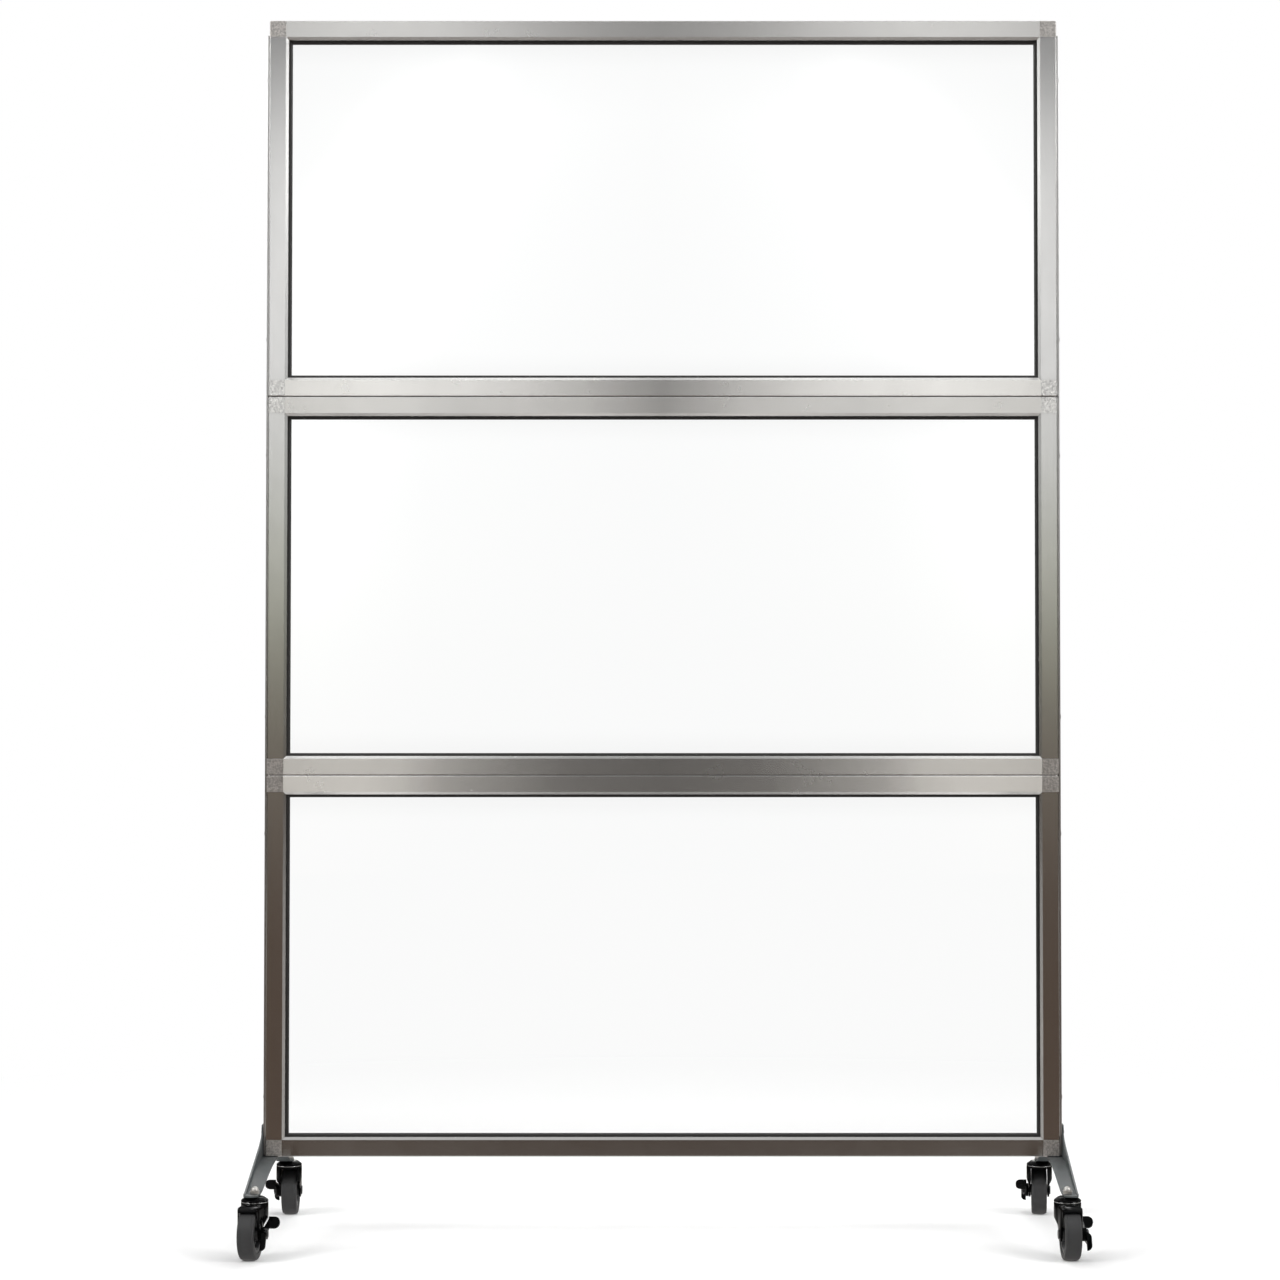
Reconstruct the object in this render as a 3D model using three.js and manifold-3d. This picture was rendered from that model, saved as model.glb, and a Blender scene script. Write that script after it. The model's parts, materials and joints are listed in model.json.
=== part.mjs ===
// Portable medical divider: three clear panels in stacked aluminium frames, held by side straps
// on two feet with four swivel casters that lock.
// Millimetres. X runs along the width, Y from front to back and Z up.
// The origin lies on the floor, at the middle of the width and of the depth.

import * as THREE from "three";
import { mergeVertices, toCreasedNormals } from "three/addons/utils/BufferGeometryUtils.js";
import Module from "manifold-3d";

const wasm = await Module();
wasm.setup();

// Clearances
const gap = 0.3; // between faces that rest on each other
const turnGap = 0.35; // between faces that turn past each other
const overrun = 1; // how far a cut or a join runs past the face it meets

// Stack of frames
const frameNames = ["lower", "middle", "upper"];
const frameWidth = 1219.2;
const frameHeight = 584.2;

// Frame extrusion
const tubeFace = 25.4;
const tubeDepth = 31.75;
const tubeWall = 1.8;
const tubeEdgeRadius = 1.5;
const lipWidth = 4;
const grooveWidth = 11;
const grooveDepth = 10;

// Corner connector
const connectorRadius = 3.5;
const plugLength = 32;
const plugTaper = 4;
const barbCount = 2;
const barbDepth = 0.8;

// Panel and its gasket
const panelThickness = 4.5;
const panelEdge = 0.5;
const gasketProud = 4.5;
const gasketNose = 1.6;
const gasketSill = 2;

// Joining strap
const strapThickness = 3;
const strapWidth = 25.4;
const strapTopInset = 22;
const strapEndRadius = 3;

// Screws that hold the strap and the foot
const screwRadius = 2.1;
const screwHeadRadius = 4.6;
const screwHeadHeight = 2;
const screwHeadCrown = 0.7;
const screwReach = 9; // into the frame
const strapScrewInset = 90; // from each end of a frame
const footScrewRise = 36;

// Foot
const footWidth = 25.4;
const footPlate = 2.5;
const footHalfLength = 210;
const footDrop = 30.9; // from the flange under the frame to the toe
const footFlatLength = 30; // flat run at each end, over the caster
const footTabHeight = 48; // above the lowest frame's bottom face
const footTabHalfWidth = 13;
const footTabRadius = 5;
const footShoulderDrop = 7; // from the tab's top to where its side starts to flare
const footFlareReach = 42; // from the middle to where the flare turns straight
const footFlareRise = 18.5; // of that place above the lowest frame's bottom face
const footToeRise = 2; // of the web over the flange, at the caster
const toeWidth = 22;
const toeOverhang = 9; // of the toe's round end past the swivel axis
const swivelInset = 15.7; // of the swivel axis from the web's outer face
// Shares of the sloping run that the flange's curve is drawn towards, and of the flare
const flangeEaseOutShare = 0.42;
const flangeEaseInShare = 0.8;
const flareSoftShare = 0.42;

// Caster
const wheelRadius = 37.5;
const wheelWidth = 24;
const wheelHeadroom = 2.2; // under the fork's crown
const trail = 28;
const frontLeftHeading = -5; // degrees
const frontRightHeading = 2; // degrees

// Swivel head
const domeRadius = 20.2;
const domeHeight = 6.95;
const domeEdge = 0.8;
const domeDrop = 4.6; // from its top to where its sides begin
const domeTopRadius = 13;
const kingpinRadius = 6;
const rivetRadius = 9;
const rivetHeight = 2.2;
const boltRadius = 4;

// Cap nut on the caster's bolt
const capNutRadius = 7.2; // to its corners
const capNutHeight = 5.6;
const capNutDome = 5.8; // radius of its domed top, and how far it stands over the hexagon

// Caster fork
const racewayHeight = 1.6;
const racewayRound = 0.6;
const racewayInset = 0.3; // from the crown's edge
const crownThickness = 2.6;
const armWall = 3;
const armEndRadius = 11;
const armKinkRise = 11.5; // above the axle
const crownSkirt = 19.3; // height of the crown's upright sides
const crownEdgeRadius = 0.6;
const hoodWall = 1;
const hoodAngle = 33; // degrees from the wheel's top to the hood's lip
const hoodCornerRadius = 4;
const hoodArchRadius = 7; // of the hood's and the arms' upper corners, seen from the front

// Wheel
const treadShoulder = 2.2;
const treadDepth = 10;
const hubRimDepth = 5;
const hubRimInset = 1;
const hubWeb = 8;
const hubBossRadius = 9;

// Axle bolt
const axleRadius = 4;
const axleHeadRadius = 7;
const axleHeadHeight = 1.6;
const nutRadius = 7.5; // to its corners
const nutHeight = 3.2;
const axleTip = 0.8;

// Brake pedal
const pedalPlate = 2.2;
const pedalBossRadius = 10.5;
const treadleThickness = 4.4;
// Upper and lower treadle. Angle: degrees from level, round the axle. Reach: from the wheel's
// middle plane. Tilt: degrees.
const tread = { angle: 24, distance: 31, reach: 37.5, length: 18, tilt: 50, corner: 8 };
const heel = { angle: 200, distance: 23, reach: 28, length: 26, tilt: 65, corner: 7 };

// Number of flat sides on each kind of round form
const tyreSides = 24;
const hubSides = 14;
const domeSides = 18;
const boreSides = 10;
const shankSides = 8;
const hexSides = 6;
const quarterSteps = 3; // steps in each quarter of a rounded corner
const edgeSteps = 2; // steps in each quarter of a small or hidden edge
const curveSteps = 5; // steps in each free curve

// Places worked out from the sizes above
const framePitch = frameHeight + gap;
const halfDepth = tubeDepth / 2;
const lipEnd = tubeFace + lipWidth;
const grooveFloor = lipEnd - grooveDepth;
const cavityFloor = grooveFloor - tubeWall;
const cavityHalfDepth = halfDepth - tubeWall;
const strapInner = frameWidth / 2 + gap;
const strapOuter = strapInner + strapThickness;
const footInner = strapOuter + gap;
const footOuter = footInner + footPlate;
const swivelX = footOuter - swivelInset;
const toeMiddle = footHalfLength - toeWidth / 2; // centre of the round end
const swivelY = toeMiddle - toeOverhang;

// Heights, from the floor up
const crownRoof = wheelRadius * 2 + wheelHeadroom;
const crownTop = crownRoof + crownThickness;
const racewayTop = crownTop + racewayHeight;
const headBottom = racewayTop + turnGap;
const headTop = headBottom + domeHeight;
const toeBottom = headTop + gap;
const toeTop = toeBottom + footPlate;
const flangeBottom = toeBottom + footDrop;
const flangeTop = flangeBottom + footPlate;
const frameClearance = flangeTop + gap;
const frameTop = frameClearance + framePitch * (frameNames.length - 1) + frameHeight;

// Places across the caster, from the wheel's middle plane
const wheelHalf = wheelWidth / 2;
const bossHalf = wheelHalf + treadShoulder / 2;
const armInner = bossHalf + turnGap;
const armOuter = armInner + armWall;
const kinkHeight = wheelRadius + armKinkRise;
const pedalInner = armOuter + gap;
const pedalPlateInner = domeRadius + gap;
const pedalOuter = pedalPlateInner + pedalPlate;

const radians = THREE.MathUtils.degToRad;

// Corner radius of a polygon whose flats lie at the given radius
const acrossFlats = (radius, sides) => radius / Math.cos(Math.PI / sides);

// Turns a three.js geometry into a solid that can be joined and cut
function solidOf(geometry) {
  const bare = geometry.clone();
  bare.deleteAttribute("normal");
  bare.deleteAttribute("uv");
  const merged = mergeVertices(bare);
  const index = merged.index.array;
  const kept = [];
  for (let i = 0; i < index.length; i += 3) {
    const [a, b, c] = [index[i], index[i + 1], index[i + 2]];
    if (a !== b && b !== c && c !== a) kept.push(a, b, c);
  }
  return new wasm.Manifold(
    new wasm.Mesh({
      numProp: 3,
      vertProperties: merged.attributes.position.array,
      triVerts: new Uint32Array(kept),
    }),
  );
}

// Turns a solid back into a geometry with flat faces and smooth round forms
function geometryOf(solid) {
  const mesh = solid.getMesh();
  const geometry = new THREE.BufferGeometry();
  geometry.setAttribute("position", new THREE.BufferAttribute(mesh.vertProperties, 3));
  geometry.setIndex(new THREE.BufferAttribute(mesh.triVerts, 1));
  return toCreasedNormals(geometry, Math.PI / 6);
}

const joined = (first, ...others) => others.reduce((sum, solid) => sum.add(solid), first);
const cut = (first, ...others) => others.reduce((rest, solid) => rest.subtract(solid), first);
const common = (first, ...others) => others.reduce((shared, solid) => shared.intersect(solid), first);

// A block between two corners
function block([x0, y0, z0], [x1, y1, z1]) {
  const geometry = new THREE.BoxGeometry(x1 - x0, y1 - y0, z1 - z0);
  return solidOf(geometry.translate((x0 + x1) / 2, (y0 + y1) / 2, (z0 + z1) / 2));
}

// A round or many-sided rod along X, between two places on it
function rodX(radius, x0, x1, y, z, sides = shankSides) {
  const geometry = new THREE.CylinderGeometry(radius, radius, x1 - x0, sides);
  geometry.rotateZ(-Math.PI / 2);
  return solidOf(geometry.translate((x0 + x1) / 2, y, z));
}

// A rod along Z
function rodZ(radius, z0, z1, x, y, sides = shankSides) {
  const geometry = new THREE.CylinderGeometry(radius, radius, z1 - z0, sides);
  geometry.rotateX(Math.PI / 2);
  return solidOf(geometry.translate(x, y, (z0 + z1) / 2));
}

// Adds an arc to a shape, in equal pieces of at most a quarter
function arc(shape, x, y, radius, start, end) {
  const pieces = Math.round((end - start) / (Math.PI / 2)) || 1;
  const step = (end - start) / pieces;
  for (let i = 0; i < pieces; i++) {
    shape.absarc(x, y, radius, start + step * i, start + step * (i + 1));
  }
}

// An outline drawn across X and Y, raised along Z
function raised(shape, z0, z1, steps = quarterSteps) {
  const geometry = new THREE.ExtrudeGeometry(shape, {
    depth: z1 - z0,
    bevelEnabled: false,
    curveSegments: steps,
  });
  return solidOf(geometry.translate(0, 0, z0));
}

// An outline drawn across Y and Z, drawn out along X
const drawnX = (shape, x0, x1, steps) => raised(shape, x0, x1, steps).rotate([90, 0, 90]);

// An outline drawn across X and Z, drawn out along Y
const drawnY = (shape, y0, y1, steps) => raised(shape, -y1, -y0, steps).rotate([90, 0, 0]);

// A profile of [radius, height] points turned about Z
function turnedZ(profile, sides) {
  const points = profile.map(([radius, height]) => new THREE.Vector2(radius, height));
  const geometry = new THREE.LatheGeometry(points, sides, Math.PI / sides);
  return solidOf(geometry.rotateX(Math.PI / 2));
}

// Profile points of a dome with the given radius, from just above its foot to its top
function quarterTurn(radius, foot) {
  const angles = Array.from({ length: quarterSteps }, (_, i) => (Math.PI / 2 / quarterSteps) * (i + 1));
  return angles.map((angle) => [radius * Math.cos(angle), foot + radius * Math.sin(angle)]);
}

// A profile of [radius, place] points turned about X
function turnedX(profile, sides) {
  const points = profile.map(([radius, place]) => new THREE.Vector2(radius, place));
  const geometry = new THREE.LatheGeometry(points, sides, Math.PI / sides);
  return solidOf(geometry.rotateZ(-Math.PI / 2));
}

// A shape from a list of corner points
function polygon(points) {
  return new THREE.Shape(points.map(([a, b]) => new THREE.Vector2(a, b)));
}

// A rounded rectangle between two corners
function roundedRectangle(x0, y0, x1, y1, radius) {
  const shape = new THREE.Shape();
  shape.moveTo(x0 + radius, y0);
  arc(shape, x1 - radius, y0 + radius, radius, -Math.PI / 2, 0);
  arc(shape, x1 - radius, y1 - radius, radius, 0, Math.PI / 2);
  arc(shape, x0 + radius, y1 - radius, radius, Math.PI / 2, Math.PI);
  arc(shape, x0 + radius, y0 + radius, radius, Math.PI, Math.PI * 1.5);
  return shape;
}

// A screw along X whose head sits outside the given face, with its shank inside it
function screwX(face, z) {
  const profile = [
    [0, -screwReach - screwHeadHeight],
    [screwRadius, -screwReach - screwHeadHeight],
    [screwRadius, -overrun],
    [screwHeadRadius, -overrun],
    [screwHeadRadius, screwHeadHeight - screwHeadCrown],
    [screwHeadRadius - screwHeadCrown, screwHeadHeight],
    [0, screwHeadHeight],
  ];
  return turnedX(profile, shankSides).translate([face, 0, z]);
}

// Frame extrusion: a hollow tube with bevelled lips on both sides of the gasket's groove.
// X runs inwards from the frame's outer edge and Y across its depth.
function extrusionSection() {
  const r = tubeEdgeRadius;
  const halfGroove = grooveWidth / 2;
  const lipHalf = halfDepth - lipWidth;
  const shape = new THREE.Shape();
  arc(shape, r, r - halfDepth, r, Math.PI, Math.PI * 1.5);
  shape.lineTo(tubeFace, -halfDepth);
  shape.lineTo(lipEnd, -lipHalf);
  shape.lineTo(lipEnd, -halfGroove);
  shape.lineTo(grooveFloor, -halfGroove);
  shape.lineTo(grooveFloor, halfGroove);
  shape.lineTo(lipEnd, halfGroove);
  shape.lineTo(lipEnd, lipHalf);
  shape.lineTo(tubeFace, halfDepth);
  arc(shape, r, halfDepth - r, r, Math.PI / 2, Math.PI);

  const bevelInset = tubeWall * Math.tan(Math.PI / 8);
  const pocketSide = halfGroove + tubeWall;
  const pocketEnd = lipEnd - tubeWall;
  const side = [
    [tubeWall, cavityHalfDepth],
    [tubeFace - bevelInset, cavityHalfDepth],
    [pocketEnd, lipHalf - bevelInset],
    [pocketEnd, pocketSide],
    [cavityFloor, pocketSide],
  ];
  const mirrored = side.map(([a, b]) => [a, -b]).reverse();
  shape.holes.push(polygon([...side, ...mirrored]));
  return shape;
}

// One side of a frame, standing along Z, centred on the frame, with its lips cut to a mitre
function frameMember(outerSpan, fullLength) {
  const halfSpan = outerSpan / 2;
  const halfLength = fullLength / 2;
  const end = halfLength - tubeFace - gap / 2;
  const straight = raised(extrusionSection(), -end, end, edgeSteps);
  const mitreOffset = gap / Math.SQRT2;
  const corner = tubeFace - overrun;
  const beyond = lipEnd + overrun;
  const wedge = drawnY(
    polygon([
      [corner, corner + mitreOffset],
      [beyond, corner - overrun],
      [beyond, beyond + mitreOffset],
    ]),
    -halfDepth - overrun,
    halfDepth + overrun,
  );
  const lower = wedge.translate([0, 0, -halfLength]);
  const upper = wedge.mirror([0, 0, 1]).translate([0, 0, halfLength]);
  return cut(straight, lower, upper).translate([-halfSpan, 0, 0]);
}

// A plug that slides into the hollow of a frame member, with barbs that grip it. It runs along X.
function connectorPlug() {
  const low = tubeWall + gap;
  const high = cavityFloor - gap;
  const pitch = (plugLength - plugTaper) / barbCount;
  const lowEdge = [[tubeFace - overrun, low + barbDepth]];
  for (let i = 0; i < barbCount; i++) {
    lowEdge.push([tubeFace + pitch * i + pitch / 2, low], [tubeFace + pitch * (i + 1), low + barbDepth]);
  }
  lowEdge.push([tubeFace + plugLength, low + plugTaper / 2]);
  const highEdge = lowEdge.map(([a, b]) => [a, low + high - b]).reverse();
  const halfPlug = cavityHalfDepth - gap;
  return drawnY(polygon([...lowEdge, ...highEdge]), -halfPlug, halfPlug);
}

// Corner connector of the lower left corner: a block as deep as the tubes, with two plugs
function cornerConnector() {
  const r = tubeEdgeRadius;
  const section = new THREE.Shape();
  arc(section, r, r - halfDepth, r, Math.PI, Math.PI * 1.5);
  section.lineTo(tubeFace, -halfDepth);
  section.lineTo(tubeFace, halfDepth);
  arc(section, r, halfDepth - r, r, Math.PI / 2, Math.PI);
  const upright = raised(section, 0, tubeFace, edgeSteps);
  const level = upright.rotate([0, -90, 0]).translate([tubeFace, 0, 0]);

  const outline = new THREE.Shape();
  arc(outline, connectorRadius, connectorRadius, connectorRadius, Math.PI, Math.PI * 1.5);
  outline.lineTo(tubeFace, 0);
  outline.lineTo(tubeFace, tubeFace);
  outline.lineTo(0, tubeFace);
  const rounded = drawnY(outline, -halfDepth, halfDepth);

  const halfGroove = grooveWidth / 2;
  const notch = block([grooveFloor, -halfGroove, grooveFloor], [lipEnd, halfGroove, lipEnd]);
  const plug = connectorPlug();
  const standingPlug = plug.mirror([1, 0, -1]);
  return joined(cut(common(upright, level, rounded), notch), plug, standingPlug);
}

// A section of [inset, depth] points swept round a frame, with mitred corners
function sweptRound(section, width, height) {
  const corners = [
    [-1, -1],
    [1, -1],
    [1, 1],
    [-1, 1],
  ];
  const positions = [];
  const index = [];
  const count = section.length;
  corners.forEach(([signX, signZ], c) => {
    const next = (c + 1) % corners.length;
    section.forEach(([inset, depth], i) => {
      positions.push(signX * (width / 2 - inset), depth, signZ * (height / 2 - inset));
      const j = (i + 1) % count;
      const [a, b, d, e] = [c * count + i, c * count + j, next * count + i, next * count + j];
      index.push(a, b, e, a, e, d);
    });
  });
  const geometry = new THREE.BufferGeometry();
  geometry.setAttribute("position", new THREE.Float32BufferAttribute(positions, 3));
  geometry.setIndex(index);
  return solidOf(geometry);
}

// Gasket: a rubber channel that sits in the groove and holds the panel's edge
function gasketRing() {
  const outer = grooveFloor + gap;
  const half = grooveWidth / 2 - gap;
  const slotHalf = panelThickness / 2 + gap;
  const tip = lipEnd + gasketProud;
  const side = [
    [outer, half],
    [tip - gasketProud / 2, half],
    [tip - gasketProud / 6, half - gasketNose / 2],
    [tip, half - gasketNose],
    [tip, slotHalf],
    [outer + gasketSill, slotHalf],
  ];
  const mirrored = side.map(([a, b]) => [a, -b]).reverse();
  return sweptRound([...side, ...mirrored], frameWidth, frameHeight);
}

// Clear panel, with polished edges
function clearPanel() {
  const inset = grooveFloor + gap + gasketSill + gap + panelEdge;
  const halfWidth = frameWidth / 2 - inset;
  const halfHeight = frameHeight / 2 - inset;
  const outline = polygon([
    [-halfWidth, -halfHeight],
    [halfWidth, -halfHeight],
    [halfWidth, halfHeight],
    [-halfWidth, halfHeight],
  ]);
  const geometry = new THREE.ExtrudeGeometry(outline, {
    depth: panelThickness - panelEdge * 2,
    bevelThickness: panelEdge,
    bevelSize: panelEdge,
    bevelSegments: 1,
  });
  geometry.translate(0, 0, panelEdge - panelThickness / 2);
  return solidOf(geometry.rotateX(Math.PI / 2));
}

// Heights of the screws that hold the strap to each frame
const strapScrewHeights = frameNames.flatMap((name, i) => {
  const bottom = frameClearance + framePitch * i;
  return [bottom + strapScrewInset, bottom + frameHeight - strapScrewInset];
});

// Heights of the screws that hold the foot: one into the corner block, one into its standing plug
const footScrewHeights = [frameClearance + tubeFace / 2, frameClearance + footScrewRise];

// Holes for screws along X, on the right side of the divider
function screwHolesX(heights) {
  const reach = screwReach + screwHeadHeight + overrun;
  return heights.map((z) => rodX(screwRadius + gap, frameWidth / 2 - reach, footOuter + overrun, 0, z));
}

// Joining strap of the right side, with its screws
function joiningStrap() {
  const half = strapWidth / 2;
  const outline = roundedRectangle(-half, frameClearance, half, frameTop - strapTopInset, strapEndRadius);
  const strip = drawnX(outline, strapInner, strapOuter);
  const drilled = cut(strip, ...screwHolesX(footScrewHeights));
  return joined(drilled, ...strapScrewHeights.map((z) => screwX(strapOuter, z)));
}

// The foot's flange from the side: flat under the frame, then down to the caster
function flangeOutline(reach) {
  const start = halfDepth + footPlate;
  const end = footHalfLength - footFlatLength;
  const easeOut = start + (end - start) * flangeEaseOutShare;
  const easeIn = start + (end - start) * flangeEaseInShare;
  const outline = (top, under) => {
    const path = new THREE.Path();
    path.moveTo(-reach, under);
    path.lineTo(-end, under);
    path.bezierCurveTo(-easeIn, under, -easeOut, top, -start, top);
    path.lineTo(start, top);
    path.bezierCurveTo(easeOut, top, easeIn, under, end, under);
    path.lineTo(reach, under);
    return path.getPoints(curveSteps);
  };
  return { upper: outline(flangeTop, toeTop), lower: outline(flangeBottom, toeBottom) };
}

// The foot's upright web from the side: a tab beside the stile that flares into two legs
function webOutline(reach) {
  const tabTop = frameClearance + footTabHeight;
  const shoulder = tabTop - footShoulderDrop;
  const flareHeight = frameClearance + footFlareRise;
  const shape = new THREE.Shape();
  const half = footTabHalfWidth;
  const r = footTabRadius;
  const soft = (shoulder - flareHeight) * flareSoftShare;
  const bend = flareHeight + soft;
  shape.moveTo(swivelY, toeTop + footToeRise);
  shape.lineTo(footFlareReach, flareHeight);
  shape.bezierCurveTo(half + soft, bend, half, bend, half, shoulder);
  arc(shape, half - r, tabTop - r, r, 0, Math.PI / 2);
  arc(shape, r - half, tabTop - r, r, Math.PI / 2, Math.PI);
  shape.lineTo(-half, shoulder);
  shape.bezierCurveTo(-half, bend, -half - soft, bend, -footFlareReach, flareHeight);
  shape.lineTo(-swivelY, toeTop + footToeRise);
  shape.lineTo(-reach, toeTop);
  for (const point of flangeOutline(reach).lower) shape.lineTo(point.x, point.y);
  shape.lineTo(reach, toeTop);
  return shape;
}

// Foot of the right side: an angle whose web tapers to its rounded toes, with its screws
function foot() {
  const reach = footHalfLength + overrun;
  const { upper, lower } = flangeOutline(reach);
  const band = new THREE.Shape([...upper, ...[...lower].reverse()]);
  const flange = drawnX(band, footOuter - footWidth, footOuter);
  const web = drawnX(webOutline(reach), footInner, footOuter, curveSteps);

  const plan = new THREE.Shape();
  const r = toeWidth / 2;
  const inner = footOuter - footWidth;
  arc(plan, footOuter - r, -toeMiddle, r, -Math.PI, 0);
  arc(plan, footOuter - r, toeMiddle, r, 0, Math.PI);
  plan.lineTo(inner, footFlareReach);
  plan.lineTo(inner, -footFlareReach);
  const trimmed = common(joined(flange, web), raised(plan, 0, frameClearance + footTabHeight + overrun));

  const boltHoles = [-1, 1].map((side) =>
    rodZ(acrossFlats(boltRadius + gap, shankSides), 0, frameClearance, swivelX, side * swivelY),
  );
  return joined(cut(trimmed, ...boltHoles), ...footScrewHeights.map((z) => longScrew(z)));
}

// A foot screw: the same head as the strap's, and a shank that also spans the strap
function longScrew(z) {
  const span = rodX(screwRadius, frameWidth / 2 - screwReach, footInner + overrun, 0, z);
  return joined(screwX(footOuter, z), span);
}

// Fixed part of the caster: the upper raceway with its kingpin, and the bolt through the foot
// with its cap nut. Each caster is drawn about its swivel axis, its wheel trailing towards -Y.
function casterHead() {
  const nutSeat = toeTop + gap;
  const nutTop = nutSeat + capNutHeight;
  const rivetTop = crownRoof - turnGap;
  const profile = [
    [0, rivetTop - rivetHeight],
    [rivetRadius - rivetHeight / 2, rivetTop - rivetHeight],
    [rivetRadius, rivetTop],
    [kingpinRadius, rivetTop],
    [kingpinRadius, headBottom],
    [domeRadius - domeEdge, headBottom],
    [domeRadius, headBottom + domeEdge],
    [domeRadius - domeEdge, headTop - domeDrop],
    [domeTopRadius, headTop],
    [boltRadius, headTop],
    [boltRadius, nutTop],
    [capNutDome, nutTop],
    ...quarterTurn(capNutDome, nutTop),
  ];
  const nut = rodZ(capNutRadius, nutSeat, nutTop, 0, 0, hexSides);
  return joined(turnedZ(profile, domeSides), nut);
}

// Caster fork: a crown with a hood over the wheel and two arms, cut from three crossing outlines
function casterFork() {
  const low = wheelRadius - armEndRadius - overrun;
  const edge = crownEdgeRadius;
  const roofRadius = wheelRadius + wheelHeadroom;
  const hoodRadius = roofRadius + crownThickness;
  const lip = radians(hoodAngle);
  const lipReach = trail + hoodRadius * Math.sin(lip);
  const half = [
    [armOuter, low],
    [armOuter, kinkHeight],
    [domeRadius, crownTop - crownSkirt],
    [domeRadius, crownTop - edge],
    [domeRadius - edge, crownTop],
  ];
  const mirrored = half.map(([a, b]) => [-a, b]).reverse();
  const crownFront = drawnY(polygon([...half, ...mirrored]), -domeRadius, domeRadius);
  const arch = new THREE.Shape();
  const round = hoodArchRadius;
  arch.moveTo(-armOuter, low);
  arch.lineTo(armOuter, low);
  arc(arch, armOuter - round, crownTop - round, round, 0, Math.PI / 2);
  arc(arch, round - armOuter, crownTop - round, round, Math.PI / 2, Math.PI);
  const hoodFront = drawnY(arch, -lipReach, 0);

  const side = new THREE.Shape();
  const bossFront = -trail - armEndRadius;
  const bossBack = armEndRadius - trail;
  side.moveTo(domeRadius, crownTop);
  side.lineTo(-trail, crownTop);
  side.absarc(-trail, wheelRadius, hoodRadius, Math.PI / 2, Math.PI / 2 + lip);
  side.lineTo(-trail - roofRadius * Math.sin(lip), wheelRadius + roofRadius * Math.cos(lip));
  side.quadraticCurveTo(bossFront, kinkHeight + armWall, bossFront, wheelRadius);
  arc(side, -trail, wheelRadius, armEndRadius, Math.PI, Math.PI * 2);
  side.quadraticCurveTo(bossBack, kinkHeight, domeRadius, crownTop - crownSkirt);

  const plan = new THREE.Shape();
  const hoodHalf = armInner + hoodWall;
  const c = hoodCornerRadius;
  plan.moveTo(-armOuter, 0);
  plan.lineTo(-armOuter, bossFront);
  plan.lineTo(-hoodHalf, bossFront - c);
  arc(plan, c - hoodHalf, c - lipReach, c, Math.PI, Math.PI * 1.5);
  arc(plan, hoodHalf - c, c - lipReach, c, -Math.PI / 2, 0);
  plan.lineTo(hoodHalf, bossFront - c);
  plan.lineTo(armOuter, bossFront);
  plan.lineTo(armOuter, 0);
  const crown = common(crownFront, rodZ(domeRadius, 0, crownTop, 0, 0, domeSides));
  const hood = common(hoodFront, raised(plan, 0, crownTop, curveSteps));
  const outer = common(joined(crown, hood), drawnX(side, -domeRadius, domeRadius, curveSteps));

  const room = new THREE.Shape();
  room.moveTo(domeRadius + overrun, 0);
  room.lineTo(domeRadius + overrun, crownRoof);
  room.lineTo(-trail, crownRoof);
  room.absarc(-trail, wheelRadius, roofRadius, Math.PI / 2, Math.PI);
  room.lineTo(-trail - roofRadius, 0);
  const body = cut(outer, drawnX(room, -armInner, armInner, curveSteps));

  const foot = domeRadius - racewayInset;
  const raceway = turnedZ(
    [
      [0, crownTop - overrun],
      [foot - racewayRound, crownTop - overrun],
      [foot, crownTop + racewayRound],
      [foot, racewayTop - racewayRound],
      [foot - racewayRound, racewayTop],
      [0, racewayTop],
    ],
    domeSides,
  );
  const bore = acrossFlats(kingpinRadius + turnGap, boreSides);
  const kingpinHole = rodZ(bore, crownRoof - overrun, racewayTop + overrun, 0, 0, boreSides);
  const shankHole = acrossFlats(axleRadius + gap, shankSides);
  const axleHole = rodX(shankHole, -domeRadius, domeRadius, -trail, wheelRadius);
  return cut(joined(body, raceway), kingpinHole, axleHole);
}

// Axle bolt through the fork, the wheel and the pedal, with its nut
function casterAxle() {
  const headFace = -armOuter - gap;
  const nutFace = pedalOuter + gap;
  const end = nutFace + nutHeight + axleTip;
  return joined(
    rodX(axleRadius, headFace - overrun, end, -trail, wheelRadius),
    rodX(axleHeadRadius, headFace - axleHeadHeight, headFace, -trail, wheelRadius, hubSides),
    rodX(nutRadius, nutFace, nutFace + nutHeight, -trail, wheelRadius, hexSides),
  );
}

// Wheel hub: a rim, a thin web and a long boss
function wheelHub() {
  const bore = acrossFlats(axleRadius + turnGap, hubSides);
  const rimOuter = wheelRadius - treadDepth;
  const rimInner = rimOuter - hubRimDepth;
  const rimHalf = wheelHalf - hubRimInset;
  const half = [
    [bore, bossHalf],
    [bore, -bossHalf],
    [hubBossRadius, -bossHalf],
    [hubBossRadius, -hubWeb / 2],
    [rimInner, -hubWeb / 2],
    [rimInner, -rimHalf],
    [rimOuter, -rimHalf],
  ];
  const profile = [...half, ...half.slice(2).map(([r, x]) => [r, -x]).reverse(), half[0]];
  return turnedX(profile, hubSides).translate([0, -trail, wheelRadius]);
}

// Tyre: a solid tread with chamfered shoulders, round the hub's rim
function wheelTyre() {
  const outer = acrossFlats(wheelRadius, tyreSides);
  const inner = acrossFlats(wheelRadius - treadDepth + gap, hubSides);
  const half = [
    [inner, -wheelHalf],
    [outer - treadShoulder, -wheelHalf],
    [outer, treadShoulder - wheelHalf],
  ];
  const profile = [...half, ...half.map(([r, x]) => [r, -x]).reverse(), half[0]];
  return turnedX(profile, tyreSides).translate([0, -trail, wheelRadius]);
}

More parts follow.
